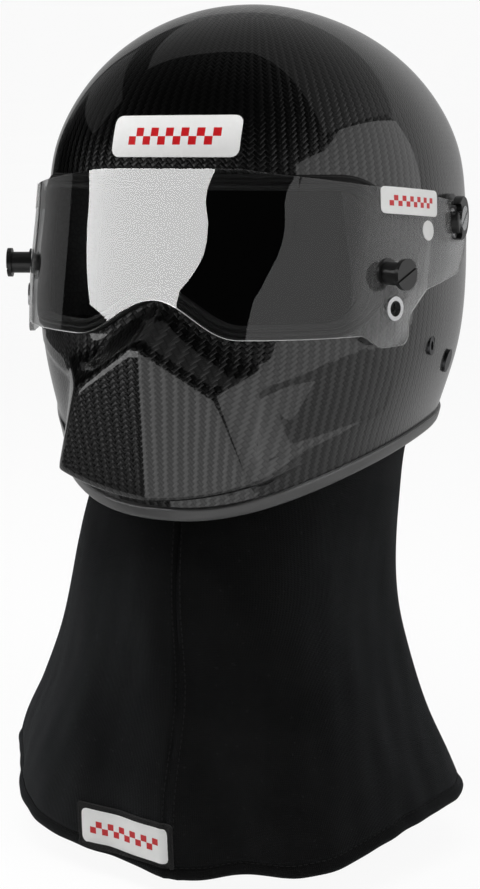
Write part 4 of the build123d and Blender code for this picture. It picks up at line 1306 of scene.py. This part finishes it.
def make_labels(shell_tree, shield_tree):
    """Chequered label panels and plain round stickers."""
    shape, level = rounded_rectangle(*BROW_LABEL), (1, 0, 0)
    label = lay_label("brow_label", shell_tree, shape, BROW_LABEL_PLACE, level, (0, 1, 0), LABEL_LIFT, "label", 4.2)
    settle(label, "helmet", "label_vinyl", "forehead_label")
    shape, tilted = rounded_rectangle(*SHIELD_LABEL), (0, cos(SHIELD_LABEL_TILT), -sin(SHIELD_LABEL_TILT))
    for side, name in SIDES:
        label = lay_label(
            "shield_label_" + name, shield_tree, shape, SHIELD_LABEL_PLACE, tilted, (-side, 0, 0), LABEL_LIFT,
            "label", 2.7,
        )
        settle(label, "visor", "label_vinyl", "visor_label_" + name)
    turn = 2 * pi * np.arange(32) / 32
    circle = DOT_RADIUS * np.stack([np.cos(turn), np.sin(turn)], -1)
    for side, name in SIDES:
        dot = lay_label(
            "shield_dot_" + name, shield_tree, circle, DOT_PLACE, (0, 1, 0), (-side, 0, 0), LABEL_LIFT,
            "plain_vinyl", 5.0,
        )
        settle(dot, "visor", "dot_vinyl", "visor_dots")


# ---------------------------------------------------------------- stitches


def stitch_tree():
    """Geometry nodes that sew a row of short threads along a path."""
    tree = bpy.data.node_groups.new("sewn_row", "GeometryNodeTree")
    sockets = {
        "Path": "Geometry", "Pitch": "Float", "Stitch length": "Float", "Thread radius": "Float",
        "Thread": "Material",
    }
    for name, kind in sockets.items():
        tree.interface.new_socket(name, in_out="INPUT", socket_type="NodeSocket" + kind)
    tree.interface.new_socket("Stitches", in_out="OUTPUT", socket_type="NodeSocketGeometry")
    outputs = node(tree, "NodeGroupInput").outputs
    path, pitch, length, radius, thread = (Wire(outputs[name]) for name in sockets)
    curve = wire(tree, "GeometryNodeMeshToCurve", i0=path)
    even = wire(tree, "GeometryNodeResampleCurve", {"mode": "LENGTH"}, Curve=curve, Length=pitch)
    dots = node(tree, "GeometryNodeCurveToPoints", {"mode": "EVALUATED"}, Curve=even).outputs
    ball = wire(tree, "GeometryNodeMeshUVSphere", Segments=6, Rings=5, Radius=1.0)
    size = wire(tree, "ShaderNodeCombineXYZ", i0=radius, i1=radius, i2=length * 0.5)
    placed = wire(
        tree, "GeometryNodeInstanceOnPoints", Points=Wire(dots["Points"]), Rotation=Wire(dots["Rotation"]),
        Instance=ball, Scale=size,
    )
    real = wire(tree, "GeometryNodeRealizeInstances", i0=placed)
    node(tree, "NodeGroupOutput", i0=wire(tree, "GeometryNodeSetMaterial", Geometry=real, Material=thread))
    return tree


def sew(name, paths, pitch, length, radius, body, slot):
    """Rows of stitches along paths in millimetres; each path is (points, closed)."""
    points, edges = [], []
    for path, closed in paths:
        first, count = len(points), len(path)
        points += [tuple(p) for p in path]
        edges += [(first + i, first + (i + 1) % count) for i in range(count if closed else count - 1)]
    thread = finishes["thread"]
    piece = new_object(name, (np.array(points) * MM).tolist(), [], thread, edges)
    step = piece.modifiers.new("sewn_row", "NODES")
    step.node_group = sewn_row
    values = {"Pitch": pitch * MM, "Stitch length": length * MM, "Thread radius": radius * MM, "Thread": thread}
    for item in sewn_row.interface.items_tree:
        if item.name in values:
            step[item.identifier] = values[item.name]
    settle_modifiers(piece)
    made = piece.data
    made.polygons.foreach_set("use_smooth", np.ones(len(made.polygons), bool))
    settle(piece, body, slot)
    return piece


# ---------------------------------------------------------------- neck skirt


def skirt_points(degs, zs, inset=0.0):
    """Points of the skirt's outer face at turns and heights."""
    rows = np.array(SKIRT_LEVELS[::-1]).T
    middle, half, reach, fold = (smooth_through(rows[0], row, zs).reshape(np.shape(zs)) for row in rows[1:])
    turn = np.radians(degs)
    knots, swells = [], []
    for start, end, swell in zip(FOLD_DEGS, FOLD_DEGS[1:] + (FOLD_DEGS[0] + 360,), FOLD_SWELL):
        knots += [start, (start + end) / 2]
        swells += [0.0, swell]
    drift = SKIRT_DRIFT_DEG * np.sin((zs + 210.0) / 42.0 + turn * 3)
    swell = smooth_through(knots, swells, degs + drift, 360.0).reshape(np.shape(zs)) * fold
    small = 0.9 * np.sin(turn * 23 + zs / 19.0) + 0.7 * np.sin(turn * 37 - zs / 13.0 + 1.7)
    small += 0.5 * np.sin(zs / 7.5 + turn * 9)
    swell = swell + small * SKIRT_RIPPLE * (0.25 + np.clip((-140.0 - zs) / 180.0, 0, 1))
    x = (half - inset + swell) * np.cos(turn)
    return np.stack([x, middle + (reach - inset + swell) * np.sin(turn), zs], -1)


def hem_z(y):
    """Height of the hem, seen from the side."""
    points = np.array(HEM_ARC)
    squares = (points**2).sum(1)
    centre = np.linalg.solve(2 * (points[1:] - points[0]), squares[1:] - squares[0])
    radius = np.linalg.norm(points[0] - centre)
    return centre[1] + np.sqrt(np.maximum(radius**2 - (y - centre[0]) ** 2, 0))


def skirt_grid():
    """Turns and heights of the skirt's grid."""
    degs = np.linspace(0, 360, SKIRT_COLUMNS, endpoint=False)
    top, low = np.full(SKIRT_COLUMNS, -108.0), np.full(SKIRT_COLUMNS, -335.0)
    for _ in range(6):
        top = rim_z(skirt_points(degs, top)[:, 1]) + 6.0
        low = hem_z(skirt_points(degs, low)[:, 1])
    zs = top + (low - top) * np.linspace(0, 1, SKIRT_ROWS)[:, None]
    return np.broadcast_to(degs, zs.shape), np.clip(zs, SKIRT_LEVELS[-1][0], SKIRT_LEVELS[0][0])


def seam_deg(zs):
    """Turn of the seam down the front."""
    return 274.0 + 1.6 * np.sin((zs + 250.0) / 45.0)


def make_skirt():
    """Double-layer skirt with a rolled hem and a seam, and its outer face's grid."""
    degs, zs = skirt_grid()
    outer, inner = skirt_points(degs, zs), skirt_points(degs, zs, SKIRT_WALL)
    above_hem = zs - zs[-1:]
    roll = np.clip(1 - above_hem / HEM_ROLL, 0, 1)
    bulge = 0.9 * np.sin(pi * roll) - 1.3 * np.clip(roll - 0.8, 0, 1) / 0.2
    groove = -0.8 * np.exp(-((above_hem - HEM_GROOVE) / 1.1) ** 2)
    away = surface_normals(outer)
    from_middle = outer[..., :2] - np.array(SKIRT_MIDDLE)
    away = np.where((away[..., :2] * from_middle).sum(-1, keepdims=True) < 0, -away, away)
    off = np.radians((degs - seam_deg(zs) + 180) % 360 - 180) * SEAM_RADIUS
    seam = 0.5 * np.exp(-((np.abs(off) - SEAM_GAP) / 1.6) ** 2) - np.exp(-(off / 0.9) ** 2)
    outer = outer + away * (bulge + groove + seam)[..., None]
    inner = inner - away * bulge[..., None]
    points = np.concatenate([outer.reshape(-1, 3), inner.reshape(-1, 3)])
    skirt = make_piece("knit_skirt", points, double_skin_faces(*zs.shape, True), "knit", 60)
    place = read_all(skirt.data.loops, "vertex_index") % zs.size
    around = degs.ravel()[place] * pi / 180 * SKIRT_MAP_RADIUS
    around = unwrapped(corner_faces(skirt.data), around, 2 * pi * SKIRT_MAP_RADIUS)
    lay_map(skirt.data, "cloth", around, zs.ravel()[place], MAP_SHARE)
    return skirt, outer, away, zs


def seam_row(off, outer, away, zs):
    """Path of stitches beside the front seam."""
    line = []
    for row in range(12, SKIRT_ROWS - 6):
        column = (seam_deg(zs[row, 0]) + np.degrees(off / SEAM_RADIUS)) / 360 * SKIRT_COLUMNS
        near, share = int(column) % SKIRT_COLUMNS, column % 1
        after = (near + 1) % SKIRT_COLUMNS
        line.append(outer[row, near] * (1 - share) + outer[row, after] * share + away[row, near] * 0.15)
    return np.array(line), False


def finish_skirt():
    """Skirt, its seam and hem stitches, and its sewn label."""
    skirt, outer, away, zs = make_skirt()
    hem_row = int(np.argmin(np.abs((zs - zs[-1:])[:, 0] - HEM_GROOVE)))
    paths = [(outer[hem_row] + away[hem_row] * 0.5, True)]
    paths += [seam_row(off, outer, away, zs) for off in (-SEAM_GAP, SEAM_GAP)]
    stitches = sew("skirt_stitches", paths, 3.2, 2.3, 0.32, "helmet", "knit")
    tree = surface_tree(outer.reshape(-1, 3), grid_faces(*zs.shape, True))
    right, way = (1, 0, 0), (0, 1, 0)
    shape = rounded_rectangle(*SKIRT_LABEL_BACKING)
    backing = lay_label("skirt_label_backing", tree, shape, SKIRT_LABEL_PLACE, right, way, 0.9, "webbing", 3.6)
    settle(backing, "helmet", "webbing")
    shape = rounded_rectangle(*SKIRT_LABEL)
    label = lay_label("sewn_skirt_label", tree, shape, SKIRT_LABEL_PLACE, right, way, 1.3, "label", 3.7)
    settle(label, "helmet", "label_vinyl", "skirt_label")
    x, _, z = SKIRT_LABEL_PLACE
    border = even_loop(rounded_rectangle(*SKIRT_LABEL_SEAM), 1.5) + (x, z)
    hits, normals = cast_on(tree, [(a, -CAST_FROM, b) for a, b in border], way)
    edge_stitches = sew("label_stitches", [(hits + normals * 1.05, True)], 2.4, 1.7, 0.25, "helmet", "webbing")
    settle(skirt, "helmet", "knit", "neck_skirt")


# ---------------------------------------------------------------- linings and straps


def settle_pad(pad, node_name):
    settle(pad, "helmet", "lining_cloth", node_name)


def make_pad(name, rounds, low, high, back_inset, face_inset, closed, node_name, rows=PAD_ROWS):
    """Crowned pad between two places up the form, thinner towards its edges."""
    share = np.linspace(0, 1, rows)[:, None]
    ups = low + (high - low) * share + 0 * rounds
    spread = np.broadcast_to(rounds, ups.shape)
    swell = (1 - np.abs(2 * share - 1) ** 3.2) ** 0.5
    if not closed:
        across = np.linspace(0, 1, len(rounds))
        swell = swell * (1 - np.abs(2 * across - 1)[None, :] ** 6) ** 0.5
    swell = PAD_EDGE_SHARE + (1 - PAD_EDGE_SHARE) * np.broadcast_to(swell, ups.shape)[..., None]
    dimple = 0.5 * np.sin(spread / 9.0) * np.sin(ups / 8.0)
    outer, inner = form_points(spread, ups, back_inset), form_points(spread, ups, face_inset)
    middle = (outer + inner) / 2
    face = middle + (inner - middle) * swell * (1 + 0.04 * dimple[..., None])
    back = middle + (outer - middle) * swell
    points = np.concatenate([face.reshape(-1, 3), back.reshape(-1, 3)])
    pad = make_piece(name, points, double_skin_faces(*ups.shape, closed), "lining", 60)
    settle_pad(pad, node_name)
    sew(name + "_stitches", [(face[1], closed), (face[-2], closed)], 3.0, 2.0, 0.3, "helmet", "lining_cloth")


def make_crown_pad():
    """Domed pad over the top of the head, closed at its middle."""
    rounds = np.linspace(-GIRTH / 2, GIRTH / 2, 96, endpoint=False)
    low = up_at(CROWN_PAD_LOW_Z, PAD_BACK)
    ups = np.linspace(low, POLE_UP, 30)[:-1][:, None] + 0 * rounds
    spread = np.broadcast_to(rounds, ups.shape)
    swell = np.sqrt(1 - (1 - np.clip((ups - low) / 12.0, 0, 1)) ** 2)
    outer, inner = form_points(spread, ups, PAD_BACK), form_points(spread, ups, PAD_FACE)
    channels = 0.6 + 0.4 * np.abs(np.cos(spread / GIRTH * 4 * pi)) ** 0.35
    middle = (outer + inner) / 2
    face = middle + (inner - middle) * (swell * channels)[..., None]
    back = middle + (outer - middle) * swell[..., None]
    rows, columns = ups.shape
    points = []
    for skin, inset in ((face, PAD_FACE), (back, PAD_BACK)):
        points += [skin.reshape(-1, 3), form_points(0.0, POLE_UP, inset)[None]]
    shift, last = rows * columns + 1, (rows - 1) * columns
    faces = list(grid_faces(rows, columns, True)) + list(grid_faces(rows, columns, True, shift, True))
    for j in range(columns):
        k = (j + 1) % columns
        faces += [(last + j, last + k, shift - 1), (last + k + shift, last + j + shift, 2 * shift - 1)]
        faces.append((k, j, j + shift, k + shift))
    settle_pad(make_piece("crown_pad", np.concatenate(points), faces, "lining", 60), "crown_comfort_pad")


def make_linings():
    """Brow, crown, nape and cheek pads in lining cloth."""
    rounds = np.linspace(-GIRTH / 2, GIRTH / 2, 160, endpoint=False)
    low, high = up_at(BROW_PAD_Z, PAD_MIDDLE)
    make_pad("brow_pad", rounds, low, high, PAD_BACK, PAD_FACE, True, "brow_comfort_pad")
    make_crown_pad()
    start = abs(round_where((0, 1, 0), 30.0, -30.0, 1, PAD_MIDDLE))
    rounds = np.linspace(start, GIRTH - start, 90)
    low, high = up_at(NAPE_PAD_Z, PAD_MIDDLE)
    make_pad("nape_pad", rounds, low, high, PAD_BACK, PAD_FACE, False, "nape_comfort_pad", 40)
    for side, name in SIDES:
        ends = [round_where((0, 1, 0), y, -85.0, side, CHEEK_MIDDLE) for y in (-61.0, -21.0)]
        rounds = np.linspace(*ends[::side], 30)
        low, high = rim_up(rounds, 13.5, CHEEK_MIDDLE), up_at(CHEEK_PAD_TOP_Z, CHEEK_MIDDLE)
        pad = ("cheek_cushion_" + name, rounds, low, high, CHEEK_BACK, CHEEK_FACE, False, "cheek_pad_" + name, 24)
        make_pad(*pad)


def webbing_strip(name, path):
    """Flat woven strip along a path of (x, z), with soft edges."""
    path = np.array(path, float)
    places = run_lengths(path)
    line = read_path(path, places, np.linspace(0, places[-1], int(places[-1] / 2.0) + 2))
    for _ in range(14):
        line[1:-1] = (line[:-2] + 2 * line[1:-1] + line[2:]) / 4
    way = np.gradient(line, axis=0)
    way /= np.linalg.norm(way, axis=1)[:, None]
    profile = [(t, 0.5 * (1 - abs(t) ** 9) ** 0.5 + 0.04) for t in np.linspace(-1, 1, 13)]
    ring = profile + [(t, -h) for t, h in profile[::-1]]
    points = []
    for (x, z), (way_x, way_z) in zip(line, way):
        for t, h in ring:
            h = h * STRAP_WALL
            points.append((x + way_z * h, STRAP_MIDDLE_Y + t * STRAP_WIDE / 2, z - way_x * h))
    count, size = len(line), len(ring)
    faces = list(grid_faces(count, size, True))
    faces += [tuple(range(size)), tuple(range((count - 1) * size, count * size))[::-1]]
    return make_piece(name, points, faces, "webbing", 60)


def make_straps():
    """Two webbing straps; the short one carries the ring loop."""
    for side, name, low, seam_z in STRAPS:
        path = [*STRAP_BENDS, (STRAP_HALF, low)]
        if side < 0:
            turn = np.radians(np.linspace(0, 350, 36))
            path += [(STRAP_HALF - LOOP_RADIUS * sin(t), LOOP_Z + LOOP_RADIUS * cos(t)) for t in turn]
        strap = webbing_strip("strap_webbing_" + name, [(side * x, z) for x, z in path])
        cut_with(strap, [bore_cutter(side, RIVET_PLACE, RIVET_BORE, STRAP_BORE_END)])
        settle(strap, "strap_" + name, "webbing", "chin_strap_" + name)
        lean = 22.0 / (abs(low) - 112.0)
        box = []
        for y, z in ((-1.5, seam_z), (16.5, seam_z), (16.5, seam_z + 9), (-1.5, seam_z + 9)):
            box.append((side * (STRAP_HALF + STRAP_WALL + lean * (z - low)), y, z))
        path = np.concatenate([np.linspace(a, b, 8, endpoint=False) for a, b in zip(box, box[1:] + box[:1])])
        sew("strap_stitches_" + name, [(path, True)], 2.6, 1.9, 0.3, "strap_" + name, "webbing")


def paint_nodes():
    """Finishes of the pieces that keep their CAD shape."""
    for finish, names in KEPT_SHAPES.items():
        for name in names:
            for end in ("left", "right") if name.endswith("_") else ("",):
                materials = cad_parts[name + end].data.materials
                materials.clear()
                materials.append(finishes[finish])


# ---------------------------------------------------------------- stage, lamps and camera


def place_aimed(name, data, place, way):
    """Camera or lamp at a place, aimed along a way."""
    made = bpy.data.objects.new(name, data)
    made.location = place
    made.rotation_euler = way.to_track_quat("-Z", "Y").to_euler()
    bpy.context.scene.collection.objects.link(made)
    return made


def place_camera():
    """Camera at the photograph's angle."""
    flat = cos(CAMERA_RISE)
    back = Vector((sin(CAMERA_TURN) * flat, -cos(CAMERA_TURN) * flat, sin(CAMERA_RISE)))
    data = bpy.data.cameras.new("front_left_camera")
    data.lens, data.sensor_width = CAMERA_LENS, CAMERA_SENSOR
    camera = place_aimed("front_left_camera", data, Vector(CAMERA_AIM) + back * CAMERA_FAR, -back)
    bpy.context.scene.camera = camera


def paper_finish():
    """Pale paper that shows white to the camera and dimmer in reflections."""
    material, tree = new_finish("pale_paper")
    paper = wire(tree, "ShaderNodeBsdfDiffuse", Color=grey(0.85))
    path = node(tree, "ShaderNodeLightPath").outputs
    camera, gloss, through = (Wire(path[name]) for name in ("Is Camera Ray", "Is Glossy Ray", "Is Transmission Ray"))
    strength = gloss.reckon("MULTIPLY_ADD", STAGE_IN_GLOSS - 1.0, 1.0)
    glow = wire(tree, "ShaderNodeEmission", Color=grey(1.0), Strength=strength)
    seen = camera.reckon("MAXIMUM", gloss).reckon("MAXIMUM", through)
    to_surface(tree, "ShaderNodeMixShader", i0=seen * STAGE_GLOW, i1=paper, i2=glow)
    return material


def make_stage():
    """Floor at the hem and a backdrop that rises behind it."""
    bend_y, paper = STAGE_FAR_Y - STAGE_BEND, paper_finish()
    profile = [(STAGE_SPLIT_Y, FLOOR_Z), (bend_y, FLOOR_Z)]
    for deg in np.linspace(0, 90, 12)[1:]:
        profile.append((bend_y + STAGE_BEND * sin(radians(deg)), FLOOR_Z + STAGE_BEND * (1 - cos(radians(deg)))))
    profile.append((STAGE_FAR_Y, STAGE_TOP_Z))
    front = [(STAGE_NEAR_Y, FLOOR_Z), (STAGE_SPLIT_Y, FLOOR_Z)]
    for name, line, in_gloss in (("studio_sweep", profile, True), ("studio_floor_front", front, False)):
        points = [(x, y, z) for y, z in line for x in (-STAGE_HALF, STAGE_HALF)]
        faces = [(2 * i, 2 * i + 1, 2 * i + 3, 2 * i + 2) for i in range(len(line) - 1)]
        floor = new_object(name, points, faces, paper)
        floor.visible_glossy = in_gloss


def light_with(cards, only_on=()):
    """Softly glowing cards that show in gloss only, of every piece or of some."""
    for name, strength, corners in cards:
        material, tree = new_finish(name)
        to_surface(tree, "ShaderNodeEmission", Color=grey(1.0), Strength=strength)
        card = new_object(name, corners, [tuple(range(len(corners)))], material)
        card.visible_camera = card.visible_diffuse = card.visible_transmission = False
        if only_on:
            receivers = bpy.data.collections.new(name + "_receivers")
            for piece in only_on:
                receivers.objects.link(piece)
            card.light_linking.receiver_collection = receivers


def light_stage():
    """Plain soft studio light."""
    world = bpy.data.worlds.new("studio_air")
    bpy.context.scene.world = world
    world.use_nodes = True
    tree = world.node_tree
    colour, strength = tree.nodes["Background"].inputs[:2]
    colour.default_value = grey(1.0)
    seen = wire(tree, "ShaderNodeLightPath", output="Is Camera Ray")
    tree.links.new(seen.reckon("MULTIPLY_ADD", 0.97, 0.01).socket, strength)
    for name, place, aim, wide, high, watts in LAMPS:
        data = bpy.data.lights.new(name, "AREA")
        data.shape = "RECTANGLE"
        data.size, data.size_y, data.energy = wide, high, watts
        lamp = place_aimed(name, data, place, Vector(aim) - Vector(place))
        lamp.visible_glossy = lamp.visible_transmission = False
    light_with(OPEN_CARDS)


# ---------------------------------------------------------------- build

bpy.context.scene.view_settings.view_transform = "Standard"
place_camera()
make_stage()
light_stage()
sewn_row = stitch_tree()
paint_nodes()
shell_piece, shell_tree = make_shell()
light_with(CHIN_CARDS, [shell_piece, make_trim()])
make_seal(shell_tree)
shield_tree = make_shield()
make_labels(shell_tree, shield_tree)
finish_skirt()
make_linings()
make_straps()
